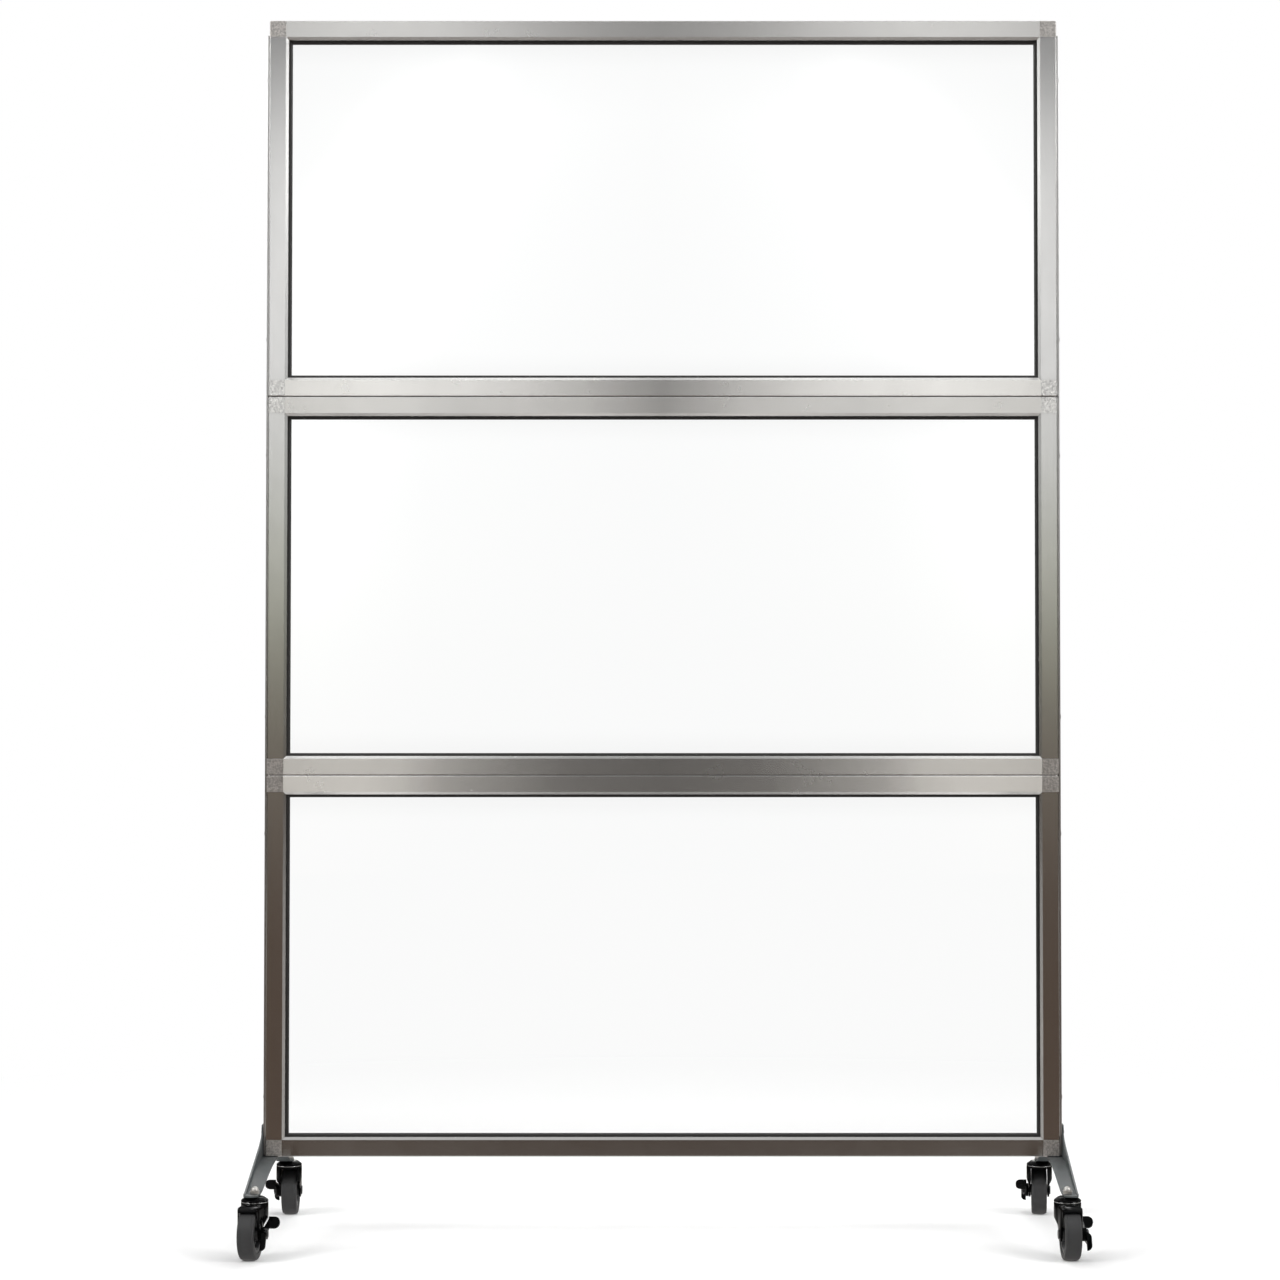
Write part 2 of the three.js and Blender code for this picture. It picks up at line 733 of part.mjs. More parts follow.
// A treadle: a rounded plate that stands out from the pedal's plate, round a place on it
function treadle({ angle, distance, reach, length, tilt, corner }) {
  const shape = roundedRectangle(pedalPlateInner - corner, -length / 2, reach, length / 2, corner);
  const plate = raised(shape, -treadleThickness / 2, treadleThickness / 2, edgeSteps);
  const kept = block(
    [pedalPlateInner, -length, -treadleThickness],
    [reach + overrun, length, treadleThickness],
  );
  const y = distance * Math.cos(radians(angle)) - trail;
  const z = distance * Math.sin(radians(angle)) + wheelRadius;
  return common(plate, kept).rotate([tilt, 0, 0]).translate([0, y, z]);
}

// Brake pedal: a rocker on the axle with an upper treadle that locks and a lower one that frees
function brakePedal() {
  const link = ({ angle, distance }) => {
    const lean = radians(angle);
    const half = Math.PI / 2;
    const y = distance * Math.cos(lean) - trail;
    const z = distance * Math.sin(lean) + wheelRadius;
    const side = new THREE.Shape();
    arc(side, -trail, wheelRadius, pedalBossRadius, lean + half, lean + half * 3);
    arc(side, y, z, treadleThickness, lean - half, lean + half);
    return drawnX(side, pedalPlateInner, pedalOuter, edgeSteps);
  };
  const plate = joined(link(tread), link(heel));
  const boss = rodX(pedalBossRadius, pedalInner, pedalPlateInner + overrun, -trail, wheelRadius);
  const bore = acrossFlats(axleRadius + turnGap, shankSides);
  const hole = rodX(bore, armInner, heel.reach, -trail, wheelRadius);
  return cut(joined(plate, boss, treadle(tread), treadle(heel)), hole);
}

// Finishes
const finish = (color, roughness, metalness, more = {}) => () =>
  new THREE.MeshStandardMaterial({ color, roughness, metalness, ...more });
const brushedAluminium = finish(0xc6c3bd, 0.38, 0.9);
const blastedAluminium = finish(0xb0ada7, 0.6, 0.85);
const clearPlastic = finish(0xf4f7f7, 0.05, 0, { transparent: true, opacity: 0.2 });
const blackRubber = finish(0x151414, 0.7, 0);
const greyPaint = finish(0x596166, 0.5, 0.3);
const blackPlastic = finish(0x0d0d0e, 0.3, 0);
const zinc = finish(0xcfcdc6, 0.35, 0.9);
const hubPlastic = finish(0x222325, 0.5, 0);
const treadRubber = finish(0x3b3b3c, 0.75, 0);

const divider = new THREE.Group();

function addMesh(parent, name, solid, material) {
  const mesh = new THREE.Mesh(geometryOf(solid), material());
  mesh.name = name;
  parent.add(mesh);
  return mesh;
}

// Frames
const members = [
  { name: "left_stile", turn: 0, span: frameWidth, length: frameHeight },
  { name: "bottom_rail", turn: -90, span: frameHeight, length: frameWidth },
  { name: "right_stile", turn: 180, span: frameWidth, length: frameHeight },
  { name: "top_rail", turn: 90, span: frameHeight, length: frameWidth },
];
const corners = [
  { name: "bottom_left", turn: 0, sideX: -1, sideZ: -1 },
  { name: "bottom_right", turn: -90, sideX: 1, sideZ: -1 },
  { name: "top_right", turn: 180, sideX: 1, sideZ: 1 },
  { name: "top_left", turn: 90, sideX: -1, sideZ: 1 },
];

frameNames.forEach((level, i) => {
  const frame = new THREE.Group();
  frame.position.z = frameClearance + framePitch * i + frameHeight / 2;
  divider.add(frame);
  const drill = (solid, mirrored) => {
    const holes = screwHolesX([...strapScrewHeights, ...footScrewHeights]);
    const placed = holes.map((hole) => hole.translate([0, 0, -frame.position.z]));
    return cut(solid, ...(mirrored ? placed.map((hole) => hole.mirror([1, 0, 0])) : placed));
  };
  for (const { name, turn, span, length } of members) {
    const member = frameMember(span, length).rotate([0, turn, 0]);
    const drilled = span === frameWidth ? drill(member, turn === 0) : member;
    addMesh(frame, `${level}_frame_${name}`, drilled, brushedAluminium);
  }
  for (const { name, turn, sideX, sideZ } of corners) {
    const placed = cornerConnector()
      .rotate([0, turn, 0])
      .translate([(sideX * frameWidth) / 2, 0, (sideZ * frameHeight) / 2]);
    addMesh(frame, `${level}_frame_${name}_connector`, drill(placed, sideX < 0), blastedAluminium);
  }
  addMesh(frame, `${level}_frame_gasket`, gasketRing(), blackRubber);
  addMesh(frame, `${level}_clear_panel`, clearPanel(), clearPlastic);
});

// Straps and feet: the left side is the right side turned half round
const sides = [
  { name: "right", turn: 0 },
  { name: "left", turn: Math.PI },
];
for (const { name, turn } of sides) {
  const side = new THREE.Group();
  side.rotation.z = turn;
  divider.add(side);
  addMesh(side, `${name}_joining_strap`, joiningStrap(), brushedAluminium);
  addMesh(side, `${name}_foot`, foot(), greyPaint);
}

// Casters: each rear one stands half round the divider from the front one across from it
const casters = [
  { name: "front_left", x: -swivelX, y: -swivelY, heading: frontLeftHeading },
  { name: "front_right", x: swivelX, y: -swivelY, heading: frontRightHeading },
  { name: "rear_right", x: swivelX, y: swivelY, heading: frontLeftHeading + 180 },
  { name: "rear_left", x: -swivelX, y: swivelY, heading: frontRightHeading + 180 },
];
for (const { name, x, y, heading } of casters) {
  const caster = new THREE.Group();
  caster.position.set(x, y, 0);
  divider.add(caster);
  addMesh(caster, `${name}_caster_head`, casterHead(), blackPlastic);
  const swivel = new THREE.Group();
  swivel.rotation.z = radians(heading);
  caster.add(swivel);
  addMesh(swivel, `${name}_caster_fork`, casterFork(), blackPlastic);
  addMesh(swivel, `${name}_caster_axle`, casterAxle(), zinc);
  addMesh(swivel, `${name}_wheel_hub`, wheelHub(), hubPlastic);
  addMesh(swivel, `${name}_wheel_tyre`, wheelTyre(), treadRubber);
  addMesh(swivel, `${name}_brake_pedal`, brakePedal(), blackPlastic);
}

export default divider;
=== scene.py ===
import json
import math

import bmesh
import bpy
from mathutils import Matrix, Vector


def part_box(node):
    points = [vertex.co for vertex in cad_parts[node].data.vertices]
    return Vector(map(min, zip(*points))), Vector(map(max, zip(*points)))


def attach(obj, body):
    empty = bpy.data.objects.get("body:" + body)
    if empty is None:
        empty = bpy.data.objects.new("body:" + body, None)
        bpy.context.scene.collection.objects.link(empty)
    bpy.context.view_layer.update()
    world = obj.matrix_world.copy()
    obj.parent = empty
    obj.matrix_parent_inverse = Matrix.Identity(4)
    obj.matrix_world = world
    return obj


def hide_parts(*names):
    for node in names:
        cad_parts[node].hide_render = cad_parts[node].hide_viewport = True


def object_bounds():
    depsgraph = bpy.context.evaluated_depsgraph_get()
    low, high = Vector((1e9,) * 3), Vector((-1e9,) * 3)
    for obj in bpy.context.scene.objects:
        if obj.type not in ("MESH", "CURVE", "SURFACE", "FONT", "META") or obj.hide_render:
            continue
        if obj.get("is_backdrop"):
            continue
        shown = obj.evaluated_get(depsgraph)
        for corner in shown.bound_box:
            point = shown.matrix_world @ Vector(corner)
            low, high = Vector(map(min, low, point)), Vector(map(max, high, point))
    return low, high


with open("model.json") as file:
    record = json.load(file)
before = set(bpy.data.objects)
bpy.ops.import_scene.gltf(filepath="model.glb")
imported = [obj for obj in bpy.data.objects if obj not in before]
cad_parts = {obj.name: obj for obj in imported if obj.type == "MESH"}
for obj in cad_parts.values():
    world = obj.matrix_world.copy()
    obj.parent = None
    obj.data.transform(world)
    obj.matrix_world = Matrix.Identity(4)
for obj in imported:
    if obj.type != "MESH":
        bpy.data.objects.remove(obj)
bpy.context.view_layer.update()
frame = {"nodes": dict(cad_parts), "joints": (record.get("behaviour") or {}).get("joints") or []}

joint_of = {joint["name"]: joint for joint in frame["joints"]}

# Clearances and limits
GAP = 0.0003  # between faces that rest on each other
TURN_GAP = 0.00035  # between faces that turn past each other
OVERRUN = 0.001  # how far a cut or a join runs past the face it meets
MERGE_DISTANCE = 1e-7  # points nearer than this to each other become one
AXIS_RADIUS = 1e-6  # of a turned outline's points on its axis
SHARP_ANGLE = math.radians(35)  # an edge that turns by more counts as sharp

# Screws
SCREW_HEAD_HEIGHT = 0.002
SCREW_HEAD_RADIUS = 0.0046
SCREW_SOCKET_RADIUS = 0.0016
SCREW_SOCKET_DEPTH = 0.0012
SCREW_RIM_SHARE = 0.3  # of the head's height, below its dome
SCREW_TOP_RADIUS = 0.0001  # where the dome's outline ends
STRAP_SCREW_INSET = 0.09  # from each end of a frame
FOOT_SCREW_RISE = 0.036

# Foot
FOOT_WIDTH = 0.0254
FOOT_PLATE = 0.0025
FOOT_FLAT_LENGTH = 0.03
FOOT_TAB_HALF_WIDTH = 0.013
FOOT_TAB_RADIUS = 0.005
FOOT_SHOULDER_DROP = 0.007
FOOT_FLARE_REACH = 0.042
FOOT_FLARE_RISE = 0.0185
FOOT_TOE_RISE = 0.002
FOOT_EDGE_RADIUS = 0.0005
TOE_WIDTH = 0.022
TOE_OVERHANG = 0.009  # of the round end past the swivel axis
FLANGE_EASE_OUT_SHARE = 0.42
FLANGE_EASE_IN_SHARE = 0.8
FLARE_SOFT_SHARE = 0.42

# Strap
STRAP_END_RADIUS = 0.003
STRAP_EDGE_RADIUS = 0.0006

# Dark strips in the seams between the frames: painted shade where the gaps fall in shadow
SEAM_SHADE_END_INSET = 0.005
SEAM_SHADE_PLACES = [(0.0004, 0.00058), (0.00075, 0.00034), (0.0014, 0.00014)]  # depth, half of the height

# Swivel head and the cap nut over it
DOME_HEIGHT = 0.00695
DOME_DROP = 0.0052  # from its top to where its sides begin
DOME_TOP_RADIUS = 0.013
DOME_EDGE = 0.0004
DOME_SHOULDER_ROUND = 0.003
DOME_TOP_ROUND = 0.007
KINGPIN_RADIUS = 0.006
RIVET_RADIUS = 0.009
RIVET_HEIGHT = 0.0022
RIVET_ROUND = 0.00132
BOLT_RADIUS = 0.004
NUT_RADIUS = 0.0072
NUT_HEIGHT = 0.0056
NUT_DOME_RADIUS = 0.0058
NUT_DOME_ANGLE = 89  # degrees from level to where its outline ends
NUT_CHAMFER = 0.0008
NUT_EDGE_RADIUS = 0.0003

# Wheel
WHEEL_WIDTH = 0.024
TREAD_SHOULDER = 0.0032
TREAD_SHOULDER_DROP = 0.0008
TREAD_SHOULDER_ROUND = 0.00224
TREAD_DEPTH = 0.01
TREAD_SEAM_DEPTH = 0.0003
TREAD_SEAM_WIDTH = 0.0008
HUB_RIM_DEPTH = 0.005
HUB_RIM_INSET = 0.001
HUB_WEB = 0.008
HUB_BOSS_RADIUS = 0.009
HUB_ROUND = 0.0014
HUB_EDGE_ROUND = 0.0007
HUB_LIP_ROUND = 0.00035
BOSS_PROUD = 0.0011

# Fork
RACEWAY_HEIGHT = 0.0016
RACEWAY_ROUND = 0.0006
RACEWAY_LOWER_ROUND = 0.0003
RACEWAY_INSET = 0.0003
CROWN_THICKNESS = 0.0026
WHEEL_HEADROOM = 0.0022
ARM_WALL = 0.003
ARM_END_RADIUS = 0.011
ARM_KINK_RISE = 0.0115
CROWN_SKIRT = 0.0193
CROWN_EDGE_RADIUS = 0.0006
HOOD_WALL = 0.001
HOOD_ANGLE = math.radians(33)
HOOD_CORNER_RADIUS = 0.004
HOOD_ARCH_RADIUS = 0.007
FORK_EDGE_RADIUS = 0.0007

# Axle bolt
AXLE_RADIUS = 0.004
AXLE_HEAD_RADIUS = 0.007
AXLE_HEAD_HEIGHT = 0.0016
AXLE_HEAD_ROUND = 0.0007
AXLE_NUT_RADIUS = 0.0075
AXLE_NUT_HEIGHT = 0.0032
AXLE_NUT_CHAMFER = 0.0007
AXLE_TIP = 0.0008
AXLE_TIP_ROUND = 0.0008
AXLE_TIP_RADIUS = 0.0004  # where its outline ends

# Brake pedal
PEDAL_PLATE = 0.0022
PEDAL_BOSS_RADIUS = 0.0105
PEDAL_EDGE_RADIUS = 0.0008
PEDAL_EDGE_STEPS = 3
TREADLE_THICKNESS = 0.0044
# Angle goes round the axle from level, in degrees, as tilt is. Reach is from the wheel's middle.
UPPER_TREADLE = {
    "angle": 24, "distance": 0.031, "reach": 0.0375, "length": 0.018, "tilt": 50, "corner": 0.008
}
LOWER_TREADLE = {
    "angle": 200, "distance": 0.023, "reach": 0.028, "length": 0.026, "tilt": 65, "corner": 0.007
}

# Numbers of sides and steps
ROUND_SIDES = 96
SMALL_SIDES = 32
HEX_SIDES = 6
ARC_STEPS = 8
CURVE_STEPS = 24
EDGE_STEPS = 2

# Finishes. A scale is of noise in the object's own metres, tints are shares of the colour, gloss is
# added to or multiplies the roughness, and relief is a distance and a strength.
BRUSH_STRETCH = 0.012  # of the noise along the brushed lines
BRUSH_LINE_SCALE = 2600
BRUSH_BAND_SCALE = 240
BRUSH_MARK_SCALE = 26
BRUSH_LINE_SHARE = 0.6  # of the tint; the bands have the rest
BRUSH_TINTS = (0.94, 1.05)
BRUSH_GLOSS = (-0.01, 0.025)
BRUSH_RELIEF = (0.00002, 0.25)
BLAST_GRAIN_SCALE = 1100
BLAST_CLOUD_SCALE = 330
BLAST_MOTTLE = [(0.36, 0.72), (0.52, 1), (0.66, 1.2)]
BLAST_SPECKLE = [(0.34, 0.7), (0.52, 0.86), (0.68, 1)]
BLAST_GLOSS = (-0.05, 0.05)
BLAST_RELIEF = (0.00008, 0.35)
PANEL_MIDDLE = (0.99, 0.995, 0.993)
# Painted shade: the clear sheet's colour greys towards its top and bottom, next to the rails.
PANEL_PAINTED_SHADE = (0.935, 0.938, 0.936)
PANEL_SHADE_SHARE = 0.1  # of the height, at the top and the bottom, where the painted shade lies
PANEL_HAZE_SCALE = 3
PANEL_HAZE = (0, 0.012)
PANEL_SHADOW = (0.97, 0.98, 0.975)
MOULD_CLOUD_SCALE = 45
MOULD_GLOSS = (0.8, 1.2)
MOULD_STRENGTH = 0.5
PLATE_CLOUD_SCALE = 300
PLATE_TINTS = (0.85, 1.1)
PLATE_GLOSS = (1, 1.6)
PLATE_RELIEF = (0.00002, 0.3)
ALUMINIUM = (0.62, 0.615, 0.605)
EVEN_LENGTH = [(0, 1), (0.5, 1)]
# For each rail: its brightness over the plain aluminium, which is painted light (above 1 a painted sheen,
# below 1 painted shade), its roughness, and shares of that brightness at distances from its middle, as parts
# of its length, which paint its reflection darker in the middle and lighter towards the ends
RAIL_PAINTED_SHEEN_AND_GLOSS = {
    "upper_frame_top_rail": (1.05, 0.26, [(0, 0.86), (0.1, 0.93), (0.2, 1)]),
    "upper_frame_bottom_rail": (
        1.56, 0.26,
        [(0, 0.6), (0.054, 0.75), (0.107, 0.92), (0.185, 1), (0.264, 0.98), (0.3, 0.92)],
    ),
    "middle_frame_top_rail": (
        1.475, 0.26,
        [(0, 0.71), (0.054, 0.87), (0.107, 1), (0.185, 0.95), (0.264, 0.8), (0.44, 0.8), (0.5, 0.85)],
    ),
    "middle_frame_bottom_rail": (
        1.4, 0.26,
        [(0, 0.4), (0.12, 0.44), (0.19, 0.54), (0.26, 0.69), (0.29, 0.76), (0.345, 0.97), (0.4, 1)],
    ),
    "lower_frame_top_rail": (
        1.59, 0.26,
        [(0, 0.37), (0.14, 0.42), (0.19, 0.51), (0.26, 0.6), (0.29, 0.66), (0.345, 0.9), (0.4, 1)],
    ),
    # The lowest rail is darker than the plain aluminium: painted shade.
    "lower_frame_bottom_rail": (0.73, 0.13, EVEN_LENGTH),
}

# Camera, in pixels of the photograph where a name says so
PHOTO_PIXELS = 1280
FOCAL_PIXELS = 3076.5
PRINCIPAL_PIXEL_X = 701.2
CAMERA_PLACE = (0.0592, -4.7549, 0.7755)
CAMERA_PITCH = 0.02949  # radians above level
SENSOR_WIDTH = 36  # millimetres, as Blender wants it

# Stage
FLOOR_HALF = 40
FLOOR_NEAR = 0.9  # the floor's own colour ends here
FLOOR_FAR = 2.6  # and is the white of the background from here
CARD_RADIUS = 12
CARD_HEIGHT = 10
CARD_LIFT = 0.0004  # of the card on the floor
CARD_GLOW = 5.77
# Brightness of the upright card at heights above the floor
CARD_RISE = [
    (0, (0.062, 0.0463, 0.0373)),
    (0.24, (0.08, 0.065, 0.0528)),
    (0.84, (0.1086, 0.0946, 0.0788)),
    (1.22, (0.181, 0.181, 0.142)),
    (1.65, (0.339, 0.345, 0.299)),
    (2.03, (0.404, 0.409, 0.388)),
    (2.36, 0.485),
    (2.8, 0.605),
    (3.7, 0.86),
    (4.1, 0.98),
    (4.5, 0.14),
    (5, 0.25),
    (6.5, 0.363),
    (8, 0.307),
    (10, 0.256),
]
# Shares of that brightness at distances to each side of the card's middle line, where the pattern
# is at its narrowest
CARD_MIDDLE = -0.18
CARD_ACROSS_SHARES = [
    (0, 0.099),
    (0.22, 0.144),
    (0.44, 0.221),
    (0.66, 0.331),
    (0.82, 0.611),
    (0.99, 1),
    (1.15, 0.617),
    (1.43, 0.18),
    (1.75, 0.053),
    (2.19, 0.022),
    (4.2, 0.025),
    (5.6, 0.2),
]
CARD_ACROSS = 8
# How narrow the pattern is at heights above the floor, 1 where the distances above hold
CARD_NARROW_SHARES = [
    (0, 0.53),
    (2.6, 0.535),
    (3.6, 0.69),
    (4.6, 1),
    (6, 0.48),
]
FLOOR_COLOUR = (0.93, 0.93, 0.93)
FLOOR_GRAIN_SCALE = 90
FLOOR_GRAIN_SHADE = 0.995
FLOOR_CARD_COLOUR = (0.123, 0.088, 0.068)
FLOOR_CARD_SIDE_COLOUR = (0.36, 0.35, 0.34)
FLOOR_CARD_DARK_HALF = 2.6  # to each side of the middle
FLOOR_CARD_LIGHT_HALF = 5.5
FLOOR_CARD_STRIP_COLOUR = (0.72, 0.7, 0.68)
FLOOR_CARD_STRIP_HALF = 0.42  # to the front and the back of the object
FLOOR_CARD_STRIP_END = 0.6
FILL = 0.55
LAMP_TARGET = (0, 0, 0.9)
LAMP_SIZE = 2.4
SIDE_LAMP_PLACE = (4.2, -2.4, 3.6)
SIDE_LAMP_POWER = 120
BACK_LAMP_PLACE = (0, 3.6, 3.8)
BACK_LAMP_POWER = 90


# Outlines

def arc(centre, radius, start, end, steps=ARC_STEPS):
    """Points of an arc from start to end, in degrees."""
    points = []
    for i in range(steps + 1):
        angle = math.radians(start + (end - start) * i / steps)
        points.append((centre[0] + radius * math.cos(angle), centre[1] + radius * math.sin(angle)))
    return points


def bezier(a, b, c, d, steps=CURVE_STEPS):
    """Points of a cubic curve after its first point."""
    points = []
    for i in range(1, steps + 1):
        t = i / steps
        s = 1 - t
        shares = (s * s * s, 3 * s * s * t, 3 * s * t * t, t * t * t)
        points.append(tuple(sum(w * p[k] for w, p in zip(shares, (a, b, c, d))) for k in (0, 1)))
    return points


def quadratic(a, b, c, steps=CURVE_STEPS):
    """Points of a quadratic curve after its first point."""
    toward = [tuple(p[k] + (b[k] - p[k]) * 2 / 3 for k in (0, 1)) for p in (a, c)]
    return bezier(a, toward[0], toward[1], c, steps)


def rounded_rectangle(x0, y0, x1, y1, radius):
    """Outline of a rectangle with round corners."""
    outline = arc((x1 - radius, y0 + radius), radius, -90, 0)
    outline += arc((x1 - radius, y1 - radius), radius, 0, 90)
    outline += arc((x0 + radius, y1 - radius), radius, 90, 180)
    outline += arc((x0 + radius, y0 + radius), radius, 180, 270)
    return outline


def filleted(corners):
    """Outline through corners of (a, b, radius), each rounded by its own radius."""
    outline = []
    count = len(corners)
    for i, (a, b, radius) in enumerate(corners):
        here = Vector((a, b))
        if not radius:
            outline.append((a, b))
            continue
        before = (Vector(corners[i - 1][:2]) - here).normalized()
        after = (Vector(corners[(i + 1) % count][:2]) - here).normalized()
        half = before.angle(after) / 2
        reach = radius / math.tan(half)
        centre = here + (before + after).normalized() * (radius / math.sin(half))
        start = here + before * reach - centre
        end = here + after * reach - centre
        turn = start.angle_signed(end)
        for k in range(ARC_STEPS + 1):
            angle = -turn * k / ARC_STEPS
            point = centre + Matrix.Rotation(angle, 2) @ start
            outline.append((point.x, point.y))
    return outline


# Meshes

def mesh_of(name, points, faces):
    """A mesh from points and faces, with its faces turned outwards."""
    mesh = bpy.data.meshes.new(name)
    mesh.from_pydata(points, [], faces)
    build = bmesh.new()
    build.from_mesh(mesh)
    bmesh.ops.remove_doubles(build, verts=build.verts, dist=MERGE_DISTANCE)
    bmesh.ops.recalc_face_normals(build, faces=build.faces)
    build.to_mesh(mesh)
    build.free()
    return mesh


def prism(outline, low, high, axis):
    """A closed outline drawn out along an axis. Along X it lies in Y and Z, along Z in X and Y."""
    place = {
        "X": lambda a, b, depth: (depth, a, b),
        "Y": lambda a, b, depth: (a, depth, b),
        "Z": lambda a, b, depth: (a, b, depth),
    }[axis]
    count = len(outline)
    points = [place(a, b, depth) for depth in (low, high) for a, b in outline]
    faces = [tuple(range(count)), tuple(range(count, 2 * count))]
    for i in range(count):
        j = (i + 1) % count
        faces.append((i, j, j + count, i + count))
    return mesh_of("prism", points, faces)


def turned(profile, axis, sides=ROUND_SIDES, closed=False):
    """A profile of (radius, place) points turned about an axis. A closed one makes a ring."""
    points = []
    for step in range(sides):
        angle = 2 * math.pi * (step + 0.5) / sides
        for radius, place in profile:
            a, b = radius * math.cos(angle), radius * math.sin(angle)
            points.append((place, a, b) if axis == "X" else (a, b, place))
    count = len(profile)
    faces = []
    for step in range(sides):
        here, there = step * count, (step + 1) % sides * count
        for i in range(count if closed else count - 1):
            j = (i + 1) % count
            faces.append((here + i, here + j, there + j, there + i))
    if not closed:
        faces.append(tuple(step * count for step in range(sides)))
        faces.append(tuple(step * count + count - 1 for step in range(sides)))
    return mesh_of("turned", points, faces)


def rod(radius, low, high, sides=SMALL_SIDES, axis="X"):
    """A plain cylinder along an axis."""
    return turned([(radius, low), (radius, high)], axis, sides)


def moved(mesh, matrix):
    """The mesh after a move or a turn."""
    mesh.transform(matrix)
    return mesh


def new_object(name, data):
    """An object in the scene for a mesh, a lamp or a camera."""
    made = bpy.data.objects.new(name, data)
    bpy.context.scene.collection.objects.link(made)
    return made


def evaluated_mesh(holder):
    """A mesh of its own with the result of an object's modifiers."""
    evaluated = holder.evaluated_get(bpy.context.evaluated_depsgraph_get())
    return bpy.data.meshes.new_from_object(evaluated)


def combined(first, operation, *others):
    """The first mesh joined with, cut by or shared with the others."""
    scratch = new_object("scratch", first)
    tools = []
    for other in others:
        tool = new_object("tool", other)
        modifier = scratch.modifiers.new("boolean", "BOOLEAN")
        modifier.operation = operation
        modifier.solver = "EXACT"
        modifier.object = tool
        tools.append(tool)
    result = evaluated_mesh(scratch)
    for made in (scratch, *tools):
        bpy.data.objects.remove(made)
    return result


def finished(mesh, edge=0, steps=EDGE_STEPS):
    """The mesh with its sharp edges rounded off and its round faces shaded smooth."""
    scratch = new_object("scratch", mesh)
    if edge:
        bevel = scratch.modifiers.new("bevel", "BEVEL")
        bevel.width = edge
        bevel.segments = steps
        bevel.limit_method = "ANGLE"
        bevel.angle_limit = SHARP_ANGLE
        bevel.harden_normals = False
    result = evaluated_mesh(scratch)
    bpy.data.objects.remove(scratch)
    result.shade_smooth()
    result.set_sharp_from_angle(angle=SHARP_ANGLE)
    return result


# Nodes of a material

def node(tree, kind, **settings):
    """A new node, with its properties or, by number or name, its input values set."""
    made = tree.nodes.new(kind)
    for key, value in settings.items():
        if key == "inputs":
            for socket, number in value.items():
                made.inputs[socket].default_value = number
        else:
            setattr(made, key, value)
    return made


def link(tree, source, target):
    """A link from an output to an input."""
    tree.links.new(source, target)


def computed(tree, operation, *terms, **settings):
    """The result of a sum on outputs and plain numbers."""
    made = node(tree, "ShaderNodeMath", operation=operation, **settings)
    for i, term in enumerate(terms):
        if isinstance(term, (int, float)):
            made.inputs[i].default_value = term
        else:
            link(tree, term, made.inputs[i])
    return made.outputs[0]


def away_from(tree, vector, axis, middle):
    """How far a place is from a middle along an axis, either way."""
    split = node(tree, "ShaderNodeSeparateXYZ")
    link(tree, vector, split.inputs[0])
    return computed(tree, "ABSOLUTE", computed(tree, "SUBTRACT", split.outputs[axis], middle))


def ramp(tree, source, stops, interpolation="LINEAR"):
    """A colour ramp over stops of (place, grey or colour)."""
    made = node(tree, "ShaderNodeValToRGB")
    made.color_ramp.interpolation = interpolation
    elements = made.color_ramp.elements
    while len(elements) < len(stops):
        elements.new(1)
    for element, (place, colour) in zip(elements, stops):
        element.position = place
        shade = colour if isinstance(colour, tuple) else (colour,) * 3
        element.color = (*shade, 1)
    link(tree, source, made.inputs[0])
    return made.outputs["Color"]


def noise(tree, scale, stretch=(1, 1, 1), detail=3, roughness=0.55):
    """Noise in the object's own metres; a stretch below 1 draws it out along that axis."""
    place = node(tree, "ShaderNodeTexCoord")
    mapping = node(tree, "ShaderNodeMapping", inputs={"Scale": stretch})
    made = node(
        tree, "ShaderNodeTexNoise", inputs={"Scale": scale, "Detail": detail, "Roughness": roughness}
    )
    link(tree, place.outputs["Object"], mapping.inputs["Vector"])
    link(tree, mapping.outputs["Vector"], made.inputs["Vector"])
    return made.outputs["Fac"]


def multiplied(tree, first, second):
    """The product of two colours."""
    mix = node(tree, "ShaderNodeMix", data_type="RGBA", blend_type="MULTIPLY", inputs={"Factor": 1})
    link(tree, first, mix.inputs["A"])
    link(tree, second, mix.inputs["B"])
    return mix.outputs["Result"]


def mixed_shaders(tree, share, first, second):
    """A shader that goes from one to another with a share."""
    mix = node(tree, "ShaderNodeMixShader")
    for i, source in enumerate((share, first, second)):
        link(tree, source, mix.inputs[i])
    return mix.outputs[0]


def tinted(tree, factor, low, high):
    """A colour that wanders between two with a factor."""
    mix = node(tree, "ShaderNodeMix", data_type="RGBA")
    link(tree, factor, mix.inputs["Factor"])
    mix.inputs["A"].default_value = (*low, 1)
    mix.inputs["B"].default_value = (*high, 1)
    return mix.outputs["Result"]


def ranged(tree, factor, low, high):
    """A number that wanders between two with a factor."""
    made = node(tree, "ShaderNodeMapRange", inputs={"To Min": low, "To Max": high})
    link(tree, factor, made.inputs["Value"])
    return made.outputs["Result"]


def bumped(tree, shader, height, distance, strength):
    """Fine relief on a shader."""
    bump = node(tree, "ShaderNodeBump", inputs={"Distance": distance, "Strength": strength})
    link(tree, height, bump.inputs["Height"])
    link(tree, bump.outputs["Normal"], shader.inputs["Normal"])


def new_material(name, **values):
    """A material with a Principled shader and its plain values set on the shader itself."""
    material = bpy.data.materials.new(name)
    material.use_nodes = True
    shader = material.node_tree.nodes["Principled BSDF"]
    for socket, value in values.items():
        shader.inputs[socket.replace("_", " ")].default_value = value
    return material, material.node_tree, shader


def scaled(colour, factor):
    """A colour made brighter or darker."""
    return tuple(part * factor for part in colour)


# Materials

